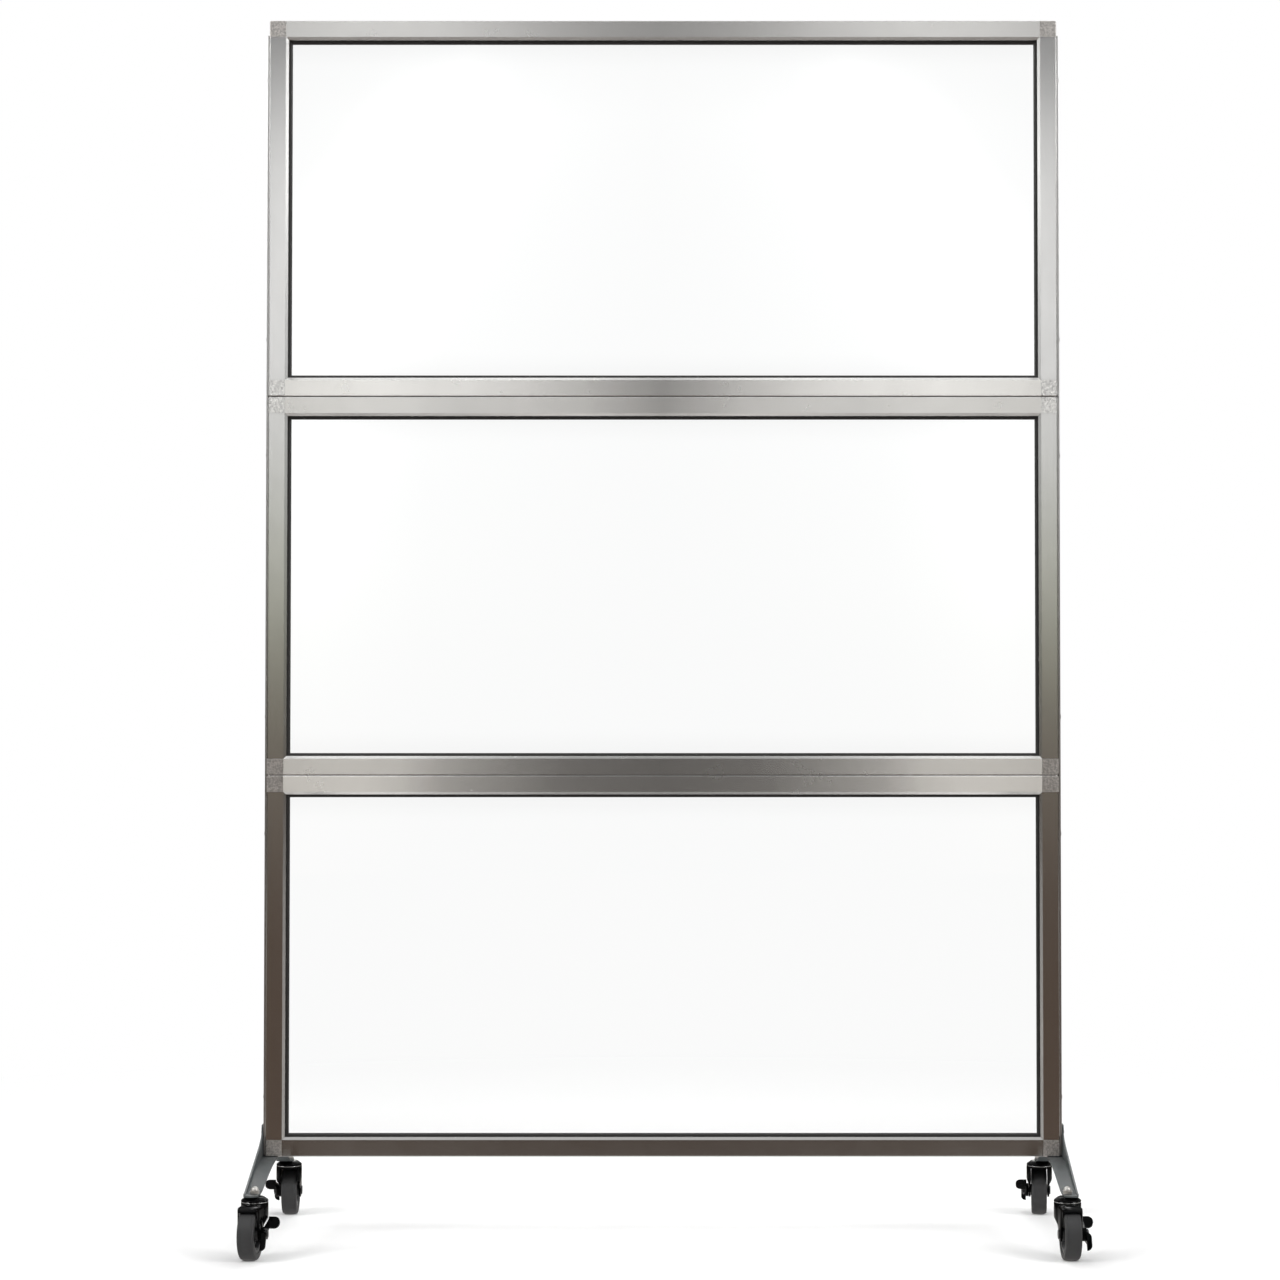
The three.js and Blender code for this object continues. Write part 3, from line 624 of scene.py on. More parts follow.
def brushed_aluminium(name, colour, axis, roughness, anisotropy, shares=EVEN_LENGTH):
    """Aluminium with fine lines along an axis, faint long bands and scattered handling marks.

    Shares are of its brightness, at distances from its middle as parts of its length: a painted reflection,
    darker or lighter along it.
    """
    material, tree, shader = new_material(name, Metallic=1, Anisotropic=anisotropy)
    stretch = tuple(BRUSH_STRETCH if letter == axis else 1 for letter in "XYZ")
    lines = noise(tree, BRUSH_LINE_SCALE, stretch, detail=2)
    bands = noise(tree, BRUSH_BAND_SCALE, stretch, detail=2)
    marks = noise(tree, BRUSH_MARK_SCALE, detail=5)
    faint = computed(tree, "MULTIPLY", bands, 1 - BRUSH_LINE_SHARE)
    mean = computed(tree, "MULTIPLY_ADD", lines, BRUSH_LINE_SHARE, faint)
    tint = tinted(tree, mean, *(scaled(colour, share) for share in BRUSH_TINTS))
    # Painted reflection: the colour is made lighter or darker along the length by the shares.
    place = node(tree, "ShaderNodeTexCoord")
    away = away_from(tree, place.outputs["Generated"], axis, 0.5)
    link(tree, multiplied(tree, tint, ramp(tree, away, shares)), shader.inputs["Base Color"])
    gloss = ranged(tree, marks, *(roughness + change for change in BRUSH_GLOSS))
    link(tree, gloss, shader.inputs["Roughness"])
    tangent = node(tree, "ShaderNodeTangent", direction_type="RADIAL", axis=axis)
    link(tree, tangent.outputs[0], shader.inputs["Tangent"])
    bumped(tree, shader, lines, *BRUSH_RELIEF)
    return material


def blasted_aluminium(name, colour, roughness):
    """Aluminium blasted to a matt, speckled skin with pinkish-grey mottling."""
    material, tree, shader = new_material(name, Metallic=1)
    grain = noise(tree, BLAST_GRAIN_SCALE, detail=4, roughness=0.7)
    clouds = noise(tree, BLAST_CLOUD_SCALE)
    mottle = ramp(tree, clouds, [(place, scaled(colour, share)) for place, share in BLAST_MOTTLE])
    speckle = ramp(tree, grain, BLAST_SPECKLE)
    link(tree, multiplied(tree, mottle, speckle), shader.inputs["Base Color"])
    gloss = ranged(tree, clouds, *(roughness + change for change in BLAST_GLOSS))
    link(tree, gloss, shader.inputs["Roughness"])
    bumped(tree, shader, grain, *BLAST_RELIEF)
    return material


def clear_panel():
    """Clear sheet that lets lamps shine through, with painted shade that greys it towards its top and bottom.
    """
    material, tree, shader = new_material("clear_panel", Transmission_Weight=1, IOR=1.49)
    place = node(tree, "ShaderNodeTexCoord")
    split = node(tree, "ShaderNodeSeparateXYZ")
    link(tree, place.outputs["Generated"], split.inputs[0])
    # Painted shade: the colour greys towards the top and bottom of the sheet, next to the rails.
    stops = [
        (0, PANEL_PAINTED_SHADE),
        (PANEL_SHADE_SHARE, PANEL_MIDDLE),
        (1 - PANEL_SHADE_SHARE, PANEL_MIDDLE),
        (1, PANEL_PAINTED_SHADE),
    ]
    shade = ramp(tree, split.outputs["Z"], stops, interpolation="EASE")
    link(tree, shade, shader.inputs["Base Color"])
    haze = noise(tree, PANEL_HAZE_SCALE, detail=4)
    link(tree, ranged(tree, haze, *PANEL_HAZE), shader.inputs["Roughness"])
    clear = node(tree, "ShaderNodeBsdfTransparent", inputs={"Color": (*PANEL_SHADOW, 1)})
    path = node(tree, "ShaderNodeLightPath")
    mix = mixed_shaders(tree, path.outputs["Is Shadow Ray"], shader.outputs[0], clear.outputs[0])
    link(tree, mix, tree.nodes["Material Output"].inputs["Surface"])
    return material


def moulded(name, colour, roughness, grain_scale, grain_depth, spread=0.12, **values):
    """Rubber, plastic or paint: a colour that wanders a little, a fine grain and uneven gloss."""
    material, tree, shader = new_material(name, **values)
    grain = noise(tree, grain_scale)
    clouds = noise(tree, MOULD_CLOUD_SCALE, detail=4)
    tint = tinted(tree, clouds, scaled(colour, 1 - spread), scaled(colour, 1 + spread))
    link(tree, tint, shader.inputs["Base Color"])
    gloss = ranged(tree, clouds, *(roughness * share for share in MOULD_GLOSS))
    link(tree, gloss, shader.inputs["Roughness"])
    bumped(tree, shader, grain, grain_depth, MOULD_STRENGTH)
    return material


def plated(name, colour, roughness):
    """Plated steel with faint clouds in its colour and gloss."""
    material, tree, shader = new_material(name, Metallic=1)
    clouds = noise(tree, PLATE_CLOUD_SCALE, detail=4)
    tint = tinted(tree, clouds, *(scaled(colour, share) for share in PLATE_TINTS))
    link(tree, tint, shader.inputs["Base Color"])
    gloss = ranged(tree, clouds, *(roughness * share for share in PLATE_GLOSS))
    link(tree, gloss, shader.inputs["Roughness"])
    bumped(tree, shader, clouds, *PLATE_RELIEF)
    return material


stile_metal = brushed_aluminium("brushed_stile", ALUMINIUM, "Z", roughness=0.18, anisotropy=0.8)
# Each rail gets its own copy of the brushed aluminium, made lighter or darker and with a painted reflection
# along its length: painted sheen and shade.
rail_metals_with_painted_light = {
    name: brushed_aluminium(
        f"brushed_{name}", scaled(ALUMINIUM, painted_brightness), "X", roughness=roughness, anisotropy=0.85, shares=shares
    )
    for name, (painted_brightness, roughness, shares) in RAIL_PAINTED_SHEEN_AND_GLOSS.items()
}
strap_metal = brushed_aluminium(
    "satin_strap", scaled(ALUMINIUM, 0.85), "Z", roughness=0.34, anisotropy=0.5
)
connector_metal = blasted_aluminium("blasted_aluminium", (0.69, 0.66, 0.635), roughness=0.45)
# A lighter, glossier copy of the blasted aluminium for the connectors where the upper and middle frames meet:
# painted sheen.
connector_metal_painted_sheen = blasted_aluminium("blasted_aluminium_painted_sheen", (0.86, 0.85, 0.84), roughness=0.25)
panel_clear = clear_panel()
gasket_rubber = moulded(
    "gasket_rubber", (0.014, 0.013, 0.012), roughness=0.5, grain_scale=1800, grain_depth=0.00004
)
foot_paint = moulded(
    "foot_paint", (0.057, 0.065, 0.067),
    roughness=0.42, grain_scale=1400, grain_depth=0.00006, spread=0.05,
)
caster_black = moulded(
    "caster_black", (0.002, 0.002, 0.0022),
    roughness=0.11, grain_scale=700, grain_depth=0.00001, Specular_IOR_Level=0.04,
)
hub_plastic = moulded(
    "hub_plastic", (0.017, 0.017, 0.018), roughness=0.42, grain_scale=1600, grain_depth=0.00004
)
tread_rubber = moulded(
    "tread_rubber", (0.027, 0.027, 0.028), roughness=0.62, grain_scale=1300, grain_depth=0.00008
)
zinc = plated("zinc", (0.5, 0.485, 0.46), roughness=0.28)
black_zinc = plated("black_zinc", (0.05, 0.05, 0.052), roughness=0.26)
raceway_steel = plated("raceway_steel", (0.42, 0.42, 0.42), roughness=0.12)

for name, cad in frame["nodes"].items():
    if name.endswith("_stile"):
        finish = stile_metal
    elif name.endswith("_rail"):
        finish = rail_metals_with_painted_light[name]
    # The connectors where the upper and middle frames meet take the copy with painted sheen.
    elif name.startswith(("upper_frame_bottom", "middle_frame_top")):
        finish = connector_metal_painted_sheen
    elif name.endswith("_connector"):
        finish = connector_metal
    elif name.endswith("_gasket"):
        finish = gasket_rubber
    elif name.endswith("_clear_panel"):
        finish = panel_clear
    else:
        continue
    for material_slot in cad.material_slots:
        material_slot.material = finish


# Pieces

def add_piece(name, mesh, material, slot, body, matrix, *nodes):
    """A piece of the object, put in place, on its body and instead of its CAD nodes."""
    piece = new_object(name, mesh)
    if not mesh.materials:
        mesh.materials.append(material)
    piece.matrix_world = matrix
    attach(piece, body)
    if nodes:
        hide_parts(*nodes)


def hexagonal(radius, low, high, chamfer, axis):
    """A six-sided block whose corners are turned off at both ends."""
    block = turned([(radius, low), (radius, high)], axis, HEX_SIDES)
    flat = radius * math.cos(math.pi / HEX_SIDES)
    rise = (radius - flat) * chamfer / (radius - flat + chamfer)
    cone = [(flat, low), (radius, low + chamfer), (radius, high - chamfer), (flat, high)]
    cone = [(r + rise / 2, place) for r, place in cone]
    return combined(block, "INTERSECT", turned(cone, axis))


# Feet, straps and screws. Each is drawn for the right side; the left is that side turned round.
frame_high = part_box("lower_frame_right_stile")[1]
half_depth = frame_high.y
frame_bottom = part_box("lower_frame_bottom_rail")[0].z
foot_low, foot_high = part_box("right_foot")
foot_outer = foot_high.x - SCREW_HEAD_HEIGHT
foot_inner = foot_outer - FOOT_PLATE
foot_half_length = foot_high.y
tab_top = foot_high.z
toe_bottom = foot_low.z
toe_top = toe_bottom + FOOT_PLATE
flange_top = frame_bottom - GAP
flange_bottom = flange_top - FOOT_PLATE
strap_low, strap_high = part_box("right_joining_strap")
strap_outer = strap_high.x - SCREW_HEAD_HEIGHT
strap_inner = frame_high.x + GAP


def flange_curve(reach, top, under):
    """The flange's top or underside from the side: level under the frame, then down to the toes."""
    start = half_depth + FOOT_PLATE
    end = foot_half_length - FOOT_FLAT_LENGTH
    ease_out = start + (end - start) * FLANGE_EASE_OUT_SHARE
    ease_in = start + (end - start) * FLANGE_EASE_IN_SHARE
    curve = [(-reach, under), (-end, under)]
    curve += bezier((-end, under), (-ease_in, under), (-ease_out, top), (-start, top))
    curve += [(start, top)]
    curve += bezier((start, top), (ease_out, top), (ease_in, under), (end, under))
    return curve + [(reach, under)]


def foot_mesh():
    """An angle whose upright web has a tab beside the frame and slopes to the rounded toes."""
    reach = foot_half_length + OVERRUN
    toe_middle = foot_half_length - TOE_WIDTH / 2
    upper = flange_curve(reach, flange_top, toe_top)
    lower = flange_curve(reach, flange_bottom, toe_bottom)
    flange = prism(upper + lower[::-1], foot_outer - FOOT_WIDTH, foot_outer, "X")

    half = FOOT_TAB_HALF_WIDTH
    shoulder = tab_top - FOOT_SHOULDER_DROP
    flare = frame_bottom + FOOT_FLARE_RISE
    bend = flare + (shoulder - flare) * FLARE_SOFT_SHARE
    soft = bend - flare
    web = [(toe_middle - TOE_OVERHANG, toe_top + FOOT_TOE_RISE), (FOOT_FLARE_REACH, flare)]
    web += bezier((FOOT_FLARE_REACH, flare), (half + soft, bend), (half, bend), (half, shoulder))
    radius = FOOT_TAB_RADIUS
    web += arc((half - radius, tab_top - radius), radius, 0, 90)
    mirrored = [(-a, b) for a, b in web[::-1]]
    outline = web + mirrored + [(-reach, toe_top)] + lower + [(reach, toe_top)]
    upright = prism(outline, foot_inner, foot_outer, "X")

    round_toe = TOE_WIDTH / 2
    centre = foot_outer - round_toe
    plan = arc((centre, -toe_middle), round_toe, -180, 0)
    plan += arc((centre, toe_middle), round_toe, 0, 180)
    plan += [(foot_outer - FOOT_WIDTH, FOOT_FLARE_REACH), (foot_outer - FOOT_WIDTH, -FOOT_FLARE_REACH)]
    trim = prism(plan, 0, tab_top + OVERRUN, "Z")
    body = combined(combined(flange, "UNION", upright), "INTERSECT", trim)
    return finished(body, FOOT_EDGE_RADIUS)


def strap_mesh():
    """A flat bar with rounded corners and broken edges."""
    outline = rounded_rectangle(strap_low.y, strap_low.z, strap_high.y, strap_high.z, STRAP_END_RADIUS)
    return finished(prism(outline, strap_inner, strap_outer, "X"), STRAP_EDGE_RADIUS)


def screw_mesh():
    """A button head on the plane x = 0, with a hexagon socket."""
    rim = SCREW_HEAD_HEIGHT * SCREW_RIM_SHARE
    rise = SCREW_HEAD_HEIGHT * (1 - SCREW_RIM_SHARE)
    head = [(SCREW_HEAD_RADIUS, 0)]
    head += [(SCREW_HEAD_RADIUS * a, rim + rise * b) for a, b in arc((0, 0), 1, 0, 90)[:-1]]
    head += [(SCREW_TOP_RADIUS, SCREW_HEAD_HEIGHT)]
    bottom = SCREW_HEAD_HEIGHT - SCREW_SOCKET_DEPTH
    socket = rod(SCREW_SOCKET_RADIUS, bottom, SCREW_HEAD_HEIGHT + OVERRUN, HEX_SIDES)
    return finished(combined(turned(head, "X", SMALL_SIDES), "DIFFERENCE", socket))


foot_body = foot_mesh()
strap_body = strap_mesh()
screw_body = screw_mesh()
frame_heights = []
for level in ("lower", "middle", "upper"):
    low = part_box(f"{level}_frame_bottom_rail")[0].z
    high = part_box(f"{level}_frame_top_rail")[1].z
    frame_heights += [low + STRAP_SCREW_INSET, high - STRAP_SCREW_INSET]
tube_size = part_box("lower_frame_left_stile")[1].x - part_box("lower_frame_left_stile")[0].x
foot_heights = [frame_bottom + tube_size / 2, frame_bottom + FOOT_SCREW_RISE]

for side, turn in (("right", 0), ("left", math.pi)):
    facing = Matrix.Rotation(turn, 4, "Z")
    foot_node = f"{side}_foot"
    add_piece(f"{foot_node}_bracket", foot_body, foot_paint, "foot_paint", "divider", facing, foot_node)
    strap_node = f"{side}_joining_strap"
    add_piece(f"{side}_strap", strap_body, strap_metal, "strap_aluminium", "divider", facing, strap_node)
    for kind, face, heights in (("strap", strap_outer, frame_heights), ("foot", foot_outer, foot_heights)):
        for i, height in enumerate(heights):
            seat = facing @ Matrix.Translation((face, 0, height))
            add_piece(f"{side}_{kind}_screw_{i + 1}", screw_body, zinc, "plated_steel", "divider", seat)

# Dark strips, front and back, in the seams between the frames: painted shade where the gaps fall in shadow
seam_shade_reach = frame_high.x - SEAM_SHADE_END_INSET
for below, above in (("lower", "middle"), ("middle", "upper")):
    seam = (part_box(f"{below}_frame_top_rail")[1].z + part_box(f"{above}_frame_bottom_rail")[0].z) / 2
    for name, facing in (("front", -1), ("back", 1)):
        upper_half = [(facing * (half_depth - depth), seam + half) for depth, half in SEAM_SHADE_PLACES]
        outline = upper_half + [(y, 2 * seam - z) for y, z in upper_half[::-1]]
        shade_strip = finished(prism(outline, -seam_shade_reach, seam_shade_reach, "X"))
        add_piece(f"{above}_{name}_painted_seam_shade", shade_strip, gasket_rubber, "gasket_rubber", "divider", Matrix())


# Casters. Each is drawn about its swivel axis, from the floor up, its wheel trailing towards -Y.
wheel_place = Vector(joint_of["front_left_wheel_roll"]["pos_m"])
swivel_place = Vector(joint_of["front_left_swivel_turn"]["pos_m"])
wheel_radius = wheel_place.z
trail = (wheel_place - swivel_place).xy.length
head_low, head_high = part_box("front_left_caster_head")
dome_radius = (head_high.x - head_low.x) / 2
crown_roof = wheel_radius * 2 + WHEEL_HEADROOM
crown_top = crown_roof + CROWN_THICKNESS
raceway_top = crown_top + RACEWAY_HEIGHT
head_bottom = raceway_top + TURN_GAP
head_top = head_bottom + DOME_HEIGHT
wheel_half = WHEEL_WIDTH / 2
boss_half = wheel_half + BOSS_PROUD
arm_inner = boss_half + TURN_GAP
arm_outer = arm_inner + ARM_WALL
kink_height = wheel_radius + ARM_KINK_RISE
pedal_inner = arm_outer + GAP
pedal_plate_inner = dome_radius + GAP
pedal_outer = pedal_plate_inner + PEDAL_PLATE
wheel_centre = Matrix.Translation((0, -trail, wheel_radius))


def head_mesh():
    """The upper raceway's dome, with its kingpin and rivet below and the bolt up into the foot."""
    rivet_top = crown_roof - TURN_GAP
    corners = [
        (0, rivet_top - RIVET_HEIGHT, 0),
        (RIVET_RADIUS, rivet_top - RIVET_HEIGHT, RIVET_ROUND),
        (RIVET_RADIUS, rivet_top, 0),
        (KINGPIN_RADIUS, rivet_top, 0),
        (KINGPIN_RADIUS, head_bottom, 0),
        (dome_radius, head_bottom, DOME_EDGE),
        (dome_radius, head_top - DOME_DROP, DOME_SHOULDER_ROUND),
        (DOME_TOP_RADIUS, head_top, DOME_TOP_ROUND),
        (BOLT_RADIUS, head_top, 0),
        (BOLT_RADIUS, toe_top, 0),
        (0, toe_top, 0),
    ]
    return finished(turned([(max(r, AXIS_RADIUS), z) for r, z in filleted(corners)], "Z"))


def nut_mesh():
    """A domed cap nut on the toe."""
    seat = toe_top + GAP
    top = seat + NUT_HEIGHT
    dome = [(NUT_DOME_RADIUS, top - NUT_CHAMFER)] + arc((0, top), NUT_DOME_RADIUS, 0, NUT_DOME_ANGLE)
    block = hexagonal(NUT_RADIUS, seat, top, NUT_CHAMFER, "Z")
    return finished(combined(block, "UNION", turned(dome, "Z", SMALL_SIDES)), NUT_EDGE_RADIUS)


def fork_mesh():
    """A crown with a hood over the wheel and two arms that narrow to the axle."""
    low = wheel_radius - ARM_END_RADIUS - OVERRUN
    edge = CROWN_EDGE_RADIUS
    roof_radius = wheel_radius + WHEEL_HEADROOM
    hood_radius = roof_radius + CROWN_THICKNESS
    lip_reach = trail + hood_radius * math.sin(HOOD_ANGLE)
    skirt = crown_top - CROWN_SKIRT
    half = [(arm_outer, low), (arm_outer, kink_height), (dome_radius, skirt)]
    half += arc((dome_radius - edge, crown_top - edge), edge, 0, 90)
    crown_front = prism(half + [(-a, b) for a, b in half[::-1]], -dome_radius, dome_radius, "Y")
    top = crown_top + OVERRUN
    crown = combined(crown_front, "INTERSECT", rod(dome_radius, 0, top, ROUND_SIDES, "Z"))

    arm_front = -trail - ARM_END_RADIUS
    arm_back = ARM_END_RADIUS - trail
    lip = math.degrees(HOOD_ANGLE)
    lip_y = -trail - roof_radius * math.sin(HOOD_ANGLE)
    lip_end = (lip_y, wheel_radius + roof_radius * math.cos(HOOD_ANGLE))
    side = [(dome_radius, crown_top)]
    side += arc((-trail, wheel_radius), hood_radius, 90, 90 + lip, CURVE_STEPS)
    side += [lip_end]
    side += quadratic(lip_end, (arm_front, kink_height + ARM_WALL), (arm_front, wheel_radius))
    side += arc((-trail, wheel_radius), ARM_END_RADIUS, 180, 360, CURVE_STEPS)[1:]
    side += quadratic((arm_back, wheel_radius), (arm_back, kink_height), (dome_radius, skirt))
    profile = prism(side, -dome_radius, dome_radius, "X")

    hood_half = arm_inner + HOOD_WALL
    c = HOOD_CORNER_RADIUS
    plan = [(-arm_outer, 0), (-arm_outer, arm_front), (-hood_half, arm_front - c)]
    plan += arc((c - hood_half, c - lip_reach), c, 180, 270)
    plan += arc((hood_half - c, c - lip_reach), c, 270, 360)
    plan += [(hood_half, arm_front - c), (arm_outer, arm_front), (arm_outer, 0)]
    bend = HOOD_ARCH_RADIUS
    arch = [(-arm_outer, low), (arm_outer, low)]
    arch += arc((arm_outer - bend, crown_top - bend), bend, 0, 90)
    arch += arc((bend - arm_outer, crown_top - bend), bend, 90, 180)
    hood = combined(prism(arch, -lip_reach, 0, "Y"), "INTERSECT", prism(plan, 0, top, "Z"))
    outer = combined(combined(crown, "UNION", hood), "INTERSECT", profile)

    room = [(dome_radius + OVERRUN, 0), (dome_radius + OVERRUN, crown_roof)]
    room += arc((-trail, wheel_radius), roof_radius, 90, 180, CURVE_STEPS)
    room += [(-trail - roof_radius, 0)]
    axle_hole = moved(rod(AXLE_RADIUS + GAP, -dome_radius, dome_radius), wheel_centre)
    bore = rod(KINGPIN_RADIUS + TURN_GAP, crown_roof - OVERRUN, top, ROUND_SIDES, "Z")
    room_block = prism(room, -arm_inner, arm_inner, "X")
    return finished(combined(outer, "DIFFERENCE", room_block, axle_hole, bore), FORK_EDGE_RADIUS)


def raceway_mesh():
    """The lower raceway's ring on the crown."""
    rim = dome_radius - RACEWAY_INSET
    corners = [
        (KINGPIN_RADIUS + TURN_GAP, crown_top + GAP, 0),
        (rim, crown_top + GAP, RACEWAY_LOWER_ROUND),
        (rim, raceway_top, RACEWAY_ROUND),
        (KINGPIN_RADIUS + TURN_GAP, raceway_top, 0),
    ]
    return finished(turned(filleted(corners), "Z", closed=True))


def axle_mesh():
    """The axle bolt with its hexagon head and its nut."""
    head_face = -arm_outer - GAP
    nut_face = pedal_outer + GAP
    end = nut_face + AXLE_NUT_HEIGHT + AXLE_TIP
    shank = filleted([
        (AXLE_RADIUS, head_face - OVERRUN, 0),
        (AXLE_RADIUS, end, AXLE_TIP_ROUND),
        (AXLE_TIP_RADIUS, end, 0),
    ])
    head_top = head_face - AXLE_HEAD_HEIGHT
    head = turned(filleted([
        (0, head_top, 0),
        (AXLE_HEAD_RADIUS, head_top, AXLE_HEAD_ROUND),
        (AXLE_HEAD_RADIUS, head_face, 0),
        (0, head_face, 0),
    ]), "X", SMALL_SIDES)
    nut = hexagonal(AXLE_NUT_RADIUS, nut_face, nut_face + AXLE_NUT_HEIGHT, AXLE_NUT_CHAMFER, "X")
    return moved(finished(combined(turned(shank, "X", SMALL_SIDES), "UNION", head, nut)), wheel_centre)


def hub_mesh():
    """A rim, a thin web and a long boss, with soft inner corners."""
    bore = AXLE_RADIUS + TURN_GAP
    rim_outer = wheel_radius - TREAD_DEPTH
    rim_inner = rim_outer - HUB_RIM_DEPTH
    rim_half = wheel_half - HUB_RIM_INSET
    half = [
        (bore, boss_half, 0),
        (HUB_BOSS_RADIUS, boss_half, HUB_EDGE_ROUND),
        (HUB_BOSS_RADIUS + HUB_ROUND, HUB_WEB / 2, HUB_ROUND),
        (rim_inner - HUB_ROUND, HUB_WEB / 2, HUB_ROUND),
        (rim_inner, rim_half, HUB_EDGE_ROUND),
        (rim_outer, rim_half, HUB_LIP_ROUND),
    ]
    mirrored = [(r, -x, radius) for r, x, radius in half[::-1]]
    return moved(finished(turned(filleted(half + mirrored), "X", closed=True)), wheel_centre)


def tyre_mesh():
    """A solid tread with round shoulders and a fine groove beside each."""
    inner = wheel_radius - TREAD_DEPTH + GAP
    seam = wheel_half - TREAD_SHOULDER - TREAD_SEAM_WIDTH
    half = [
        (inner, wheel_half, 0),
        (wheel_radius - TREAD_SHOULDER_DROP, wheel_half, TREAD_SHOULDER_ROUND),
        (wheel_radius, seam + TREAD_SEAM_WIDTH, 0),
        (wheel_radius - TREAD_SEAM_DEPTH, seam + TREAD_SEAM_WIDTH / 2, 0),
        (wheel_radius, seam, 0),
    ]
    mirrored = [(r, -x, radius) for r, x, radius in half[::-1]]
    return moved(finished(turned(filleted(half + mirrored), "X", closed=True)), wheel_centre)


def treadle_place(treadle):
    """Where a treadle's middle lies, in Y and Z."""
    angle, distance = math.radians(treadle["angle"]), treadle["distance"]
    return distance * math.cos(angle) - trail, distance * math.sin(angle) + wheel_radius


def treadle_mesh(treadle):
    """A rounded plate that stands out from the pedal's plate."""
    corner, half = treadle["corner"], treadle["length"] / 2
    outline = [(pedal_plate_inner, -half)]
    outline += arc((treadle["reach"] - corner, corner - half), corner, -90, 0)
    outline += arc((treadle["reach"] - corner, half - corner), corner, 0, 90)
    outline += [(pedal_plate_inner, half)]
    plate = prism(outline, -TREADLE_THICKNESS / 2, TREADLE_THICKNESS / 2, "Z")
    y, z = treadle_place(treadle)
    tilt = Matrix.Rotation(math.radians(treadle["tilt"]), 4, "X")
    return moved(plate, Matrix.Translation((0, y, z)) @ tilt)


def pedal_mesh():
    """A rocker on the axle with an upper treadle that locks and a lower one that frees."""
    links = []
    for treadle in (UPPER_TREADLE, LOWER_TREADLE):
        lean = treadle["angle"]
        side = arc((-trail, wheel_radius), PEDAL_BOSS_RADIUS, lean + 90, lean + 270, CURVE_STEPS)
        side += arc(treadle_place(treadle), TREADLE_THICKNESS, lean - 90, lean + 90)
        links.append(prism(side, pedal_plate_inner, pedal_outer, "X"))
    boss = moved(rod(PEDAL_BOSS_RADIUS, pedal_inner, pedal_plate_inner + OVERRUN), wheel_centre)
    hole = moved(rod(AXLE_RADIUS + TURN_GAP, arm_inner, pedal_outer + OVERRUN), wheel_centre)
    treadles = [treadle_mesh(treadle) for treadle in (UPPER_TREADLE, LOWER_TREADLE)]
    body = combined(links[0], "UNION", links[1], boss, *treadles)
    return finished(combined(body, "DIFFERENCE", hole), PEDAL_EDGE_RADIUS, PEDAL_EDGE_STEPS)


caster_pieces = [
    ("swivel_head", head_mesh(), caster_black, "caster_black", "divider", ["caster_head"]),
    ("cap_nut", nut_mesh(), zinc, "plated_steel", "divider", []),
    ("fork", fork_mesh(), caster_black, "caster_black", "swivel", ["caster_fork"]),
    ("raceway", raceway_mesh(), raceway_steel, "plated_steel", "swivel", []),
    ("axle_bolt", axle_mesh(), black_zinc, "plated_steel", "swivel", ["caster_axle"]),
    ("hub", hub_mesh(), hub_plastic, "wheel_hub", "wheel", ["wheel_hub"]),
    ("tyre", tyre_mesh(), tread_rubber, "wheel_tread", "wheel", ["wheel_tyre"]),
    ("pedal", pedal_mesh(), caster_black, "caster_black", "brake", ["brake_pedal"]),
]
for corner in ("front_left", "front_right", "rear_right", "rear_left"):
    place = Vector(joint_of[f"{corner}_swivel_turn"]["pos_m"])
    axis = joint_of[f"{corner}_wheel_roll"]["axis"]
    upright = Matrix.Translation((place.x, place.y, 0))
    heading = upright @ Matrix.Rotation(math.atan2(axis[1], axis[0]), 4, "Z")
    for name, mesh, material, slot, body, nodes in caster_pieces:
        carrier = body if body == "divider" else f"{corner}_{body}"
        matrix = upright if body == "divider" else heading
        stood_for = [f"{corner}_{part}" for part in nodes]
        add_piece(f"{corner}_{name}", mesh, material, slot, carrier, matrix, *stood_for)


# Stage: a white world, a pale floor, cards that only reflections see, and soft lamps

def seen_directly(tree):
    """1 for camera, glossy and transmission rays, and 0 for the rest."""
    rays = node(tree, "ShaderNodeLightPath").outputs
    either = computed(tree, "ADD", rays["Is Camera Ray"], rays["Is Glossy Ray"], use_clamp=True)
    return computed(tree, "ADD", either, rays["Is Transmission Ray"], use_clamp=True)


def light_world(fill):
    """White where it is seen, and a plain fill where it lights."""
    world = bpy.data.worlds.new("studio")
    bpy.context.scene.world = world
    world.use_nodes = True
    tree = world.node_tree
    tree.nodes.clear()
    seen = node(tree, "ShaderNodeBackground", inputs={"Color": (1, 1, 1, 1), "Strength": 1})
    lighting = node(tree, "ShaderNodeBackground", inputs={"Color": (1, 1, 1, 1), "Strength": fill})
    output = node(tree, "ShaderNodeOutputWorld")
    mix = mixed_shaders(tree, seen_directly(tree), lighting.outputs[0], seen.outputs[0])
    link(tree, mix, output.inputs["Surface"])


def stage_mesh(name, mesh, material):
    """A mesh of the stage, which is no piece of the object."""
    piece = new_object(name, mesh)
    mesh.materials.append(material)
    piece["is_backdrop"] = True
    return piece


def distance_from_middle(tree):
    """Distance along the floor from the middle of the object."""
    place = node(tree, "ShaderNodeNewGeometry")
    flat = node(tree, "ShaderNodeVectorMath", operation="MULTIPLY", inputs={1: (1, 1, 0)})
    length = node(tree, "ShaderNodeVectorMath", operation="LENGTH")
    link(tree, place.outputs["Position"], flat.inputs[0])
    link(tree, flat.outputs["Vector"], length.inputs[0])
    return length.outputs["Value"]


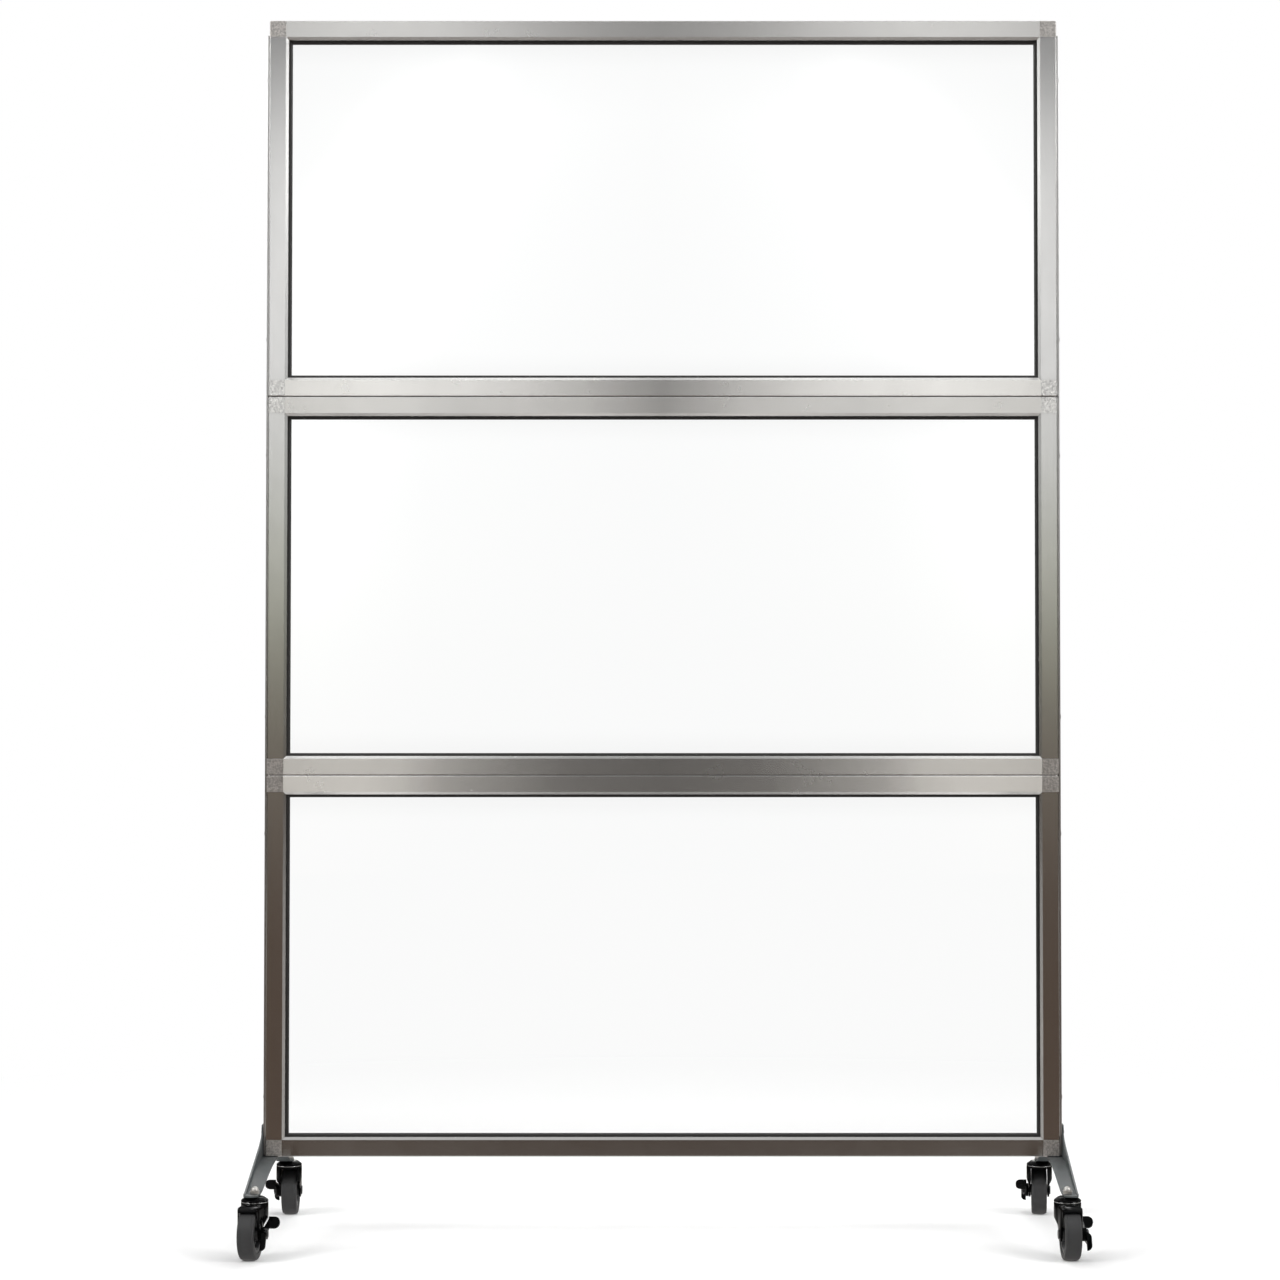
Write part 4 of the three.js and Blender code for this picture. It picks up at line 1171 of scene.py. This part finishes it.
def floor_material(colour):
    """A pale floor that turns into the white of the background away from the object."""
    material, tree, shader = new_material("floor", Roughness=0.9, Specular_IOR_Level=0.2)
    grain = noise(tree, FLOOR_GRAIN_SCALE, detail=2)
    tint = tinted(tree, grain, scaled(colour, FLOOR_GRAIN_SHADE), colour)
    link(tree, tint, shader.inputs["Base Color"])
    fade = node(
        tree,
        "ShaderNodeMapRange",
        interpolation_type="SMOOTHSTEP",
        inputs={"From Min": FLOOR_NEAR, "From Max": FLOOR_FAR},
    )
    link(tree, distance_from_middle(tree), fade.inputs["Value"])
    share = computed(tree, "MULTIPLY", fade.outputs["Result"], seen_directly(tree))
    white = node(tree, "ShaderNodeEmission")
    mix = mixed_shaders(tree, share, shader.outputs[0], white.outputs[0])
    link(tree, mix, tree.nodes["Material Output"].inputs["Surface"])
    return material


def card_material(name, colour_of, strength=1):
    """A card with its own glow, whose colour comes from a function of its node tree."""
    material = bpy.data.materials.new(name)
    material.use_nodes = True
    tree = material.node_tree
    tree.nodes.clear()
    glow = node(tree, "ShaderNodeEmission", inputs={"Strength": strength})
    output = node(tree, "ShaderNodeOutputMaterial")
    link(tree, colour_of(tree), glow.inputs["Color"])
    link(tree, glow.outputs[0], output.inputs["Surface"])
    return material


def distance_along(tree, axis, middle=0):
    """Distance from a place on an axis, either way along it."""
    place = node(tree, "ShaderNodeNewGeometry")
    return away_from(tree, place.outputs["Position"], axis, middle)


def floor_card_colour(tree):
    """Dark brown, with light grey far to the sides and in a strip under the object."""
    across = computed(tree, "DIVIDE", distance_along(tree, "X"), CARD_RADIUS)
    stops = [(FLOOR_CARD_DARK_HALF, FLOOR_CARD_COLOUR), (FLOOR_CARD_LIGHT_HALF, FLOOR_CARD_SIDE_COLOUR)]
    wide = ramp(tree, across, [(x / CARD_RADIUS, colour) for x, colour in stops])
    strip = ramp(tree, distance_along(tree, "Y"), [(FLOOR_CARD_STRIP_HALF, 1), (FLOOR_CARD_STRIP_END, 0)])
    mix = node(tree, "ShaderNodeMix", data_type="RGBA")
    mix.inputs["B"].default_value = (*FLOOR_CARD_STRIP_COLOUR, 1)
    link(tree, strip, mix.inputs["Factor"])
    link(tree, wide, mix.inputs["A"])
    return mix.outputs["Result"]


def wall_card_colour(tree):
    """Brown at the floor and light above, in upright bands at both sides of its middle line."""
    across = computed(tree, "DIVIDE", distance_along(tree, "X", CARD_MIDDLE), CARD_ACROSS)
    rise = computed(tree, "DIVIDE", distance_along(tree, "Z"), CARD_HEIGHT)
    upward = ramp(tree, rise, [(z / CARD_HEIGHT, glow) for z, glow in CARD_RISE])
    narrow = ramp(tree, rise, [(z / CARD_HEIGHT, share) for z, share in CARD_NARROW_SHARES])
    stops = [(x / CARD_ACROSS, share) for x, share in CARD_ACROSS_SHARES]
    sideways = ramp(tree, computed(tree, "MULTIPLY", across, narrow), stops)
    product = node(tree, "ShaderNodeVectorMath", operation="MULTIPLY")
    link(tree, upward, product.inputs[0])
    link(tree, sideways, product.inputs[1])
    return product.outputs["Vector"]


def only_in_reflections(card):
    """Leaves a card seen by reflections alone."""
    card.visible_camera = False
    card.visible_diffuse = False
    card.visible_transmission = False
    card.visible_volume_scatter = False
    card.visible_shadow = False


def add_lamp(name, place, power):
    """A soft square lamp that faces the middle of the object."""
    data = bpy.data.lights.new(name, "AREA")
    data.size = LAMP_SIZE
    data.energy = power
    lamp = new_object(name, data)
    lamp.location = place
    lamp.rotation_euler = (Vector(LAMP_TARGET) - Vector(place)).to_track_quat("-Z", "Y").to_euler()


def square(half, height):
    """A level square mesh round the middle."""
    corners = [(-half, -half, height), (half, -half, height), (half, half, height), (-half, half, height)]
    return mesh_of("square", corners, [(0, 1, 2, 3)])


light_world(FILL)
stage_mesh("floor", square(FLOOR_HALF, 0), floor_material(FLOOR_COLOUR))
floor_card = card_material("floor_card", floor_card_colour)
only_in_reflections(stage_mesh("floor_card", square(CARD_RADIUS, CARD_LIFT), floor_card))
wall = turned([(CARD_RADIUS, 0), (CARD_RADIUS, CARD_HEIGHT)], "Z", closed=True)
wall_card = card_material("wall_card", wall_card_colour, CARD_GLOW)
only_in_reflections(stage_mesh("wall_card", wall, wall_card))
add_lamp("right_lamp", SIDE_LAMP_PLACE, SIDE_LAMP_POWER)
add_lamp("left_lamp", (-SIDE_LAMP_PLACE[0], *SIDE_LAMP_PLACE[1:]), SIDE_LAMP_POWER)
add_lamp("back_lamp", BACK_LAMP_PLACE, BACK_LAMP_POWER)

# Camera
camera_data = bpy.data.cameras.new("camera")
camera_data.sensor_width = SENSOR_WIDTH
camera_data.lens = FOCAL_PIXELS / PHOTO_PIXELS * SENSOR_WIDTH
camera_data.shift_x = (PHOTO_PIXELS / 2 - PRINCIPAL_PIXEL_X) / PHOTO_PIXELS
camera = new_object("camera", camera_data)
camera.location = CAMERA_PLACE
camera.rotation_euler = (math.pi / 2 + CAMERA_PITCH, 0, 0)
bpy.context.scene.camera = camera
bpy.context.scene.view_settings.view_transform = "Standard"

low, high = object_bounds()
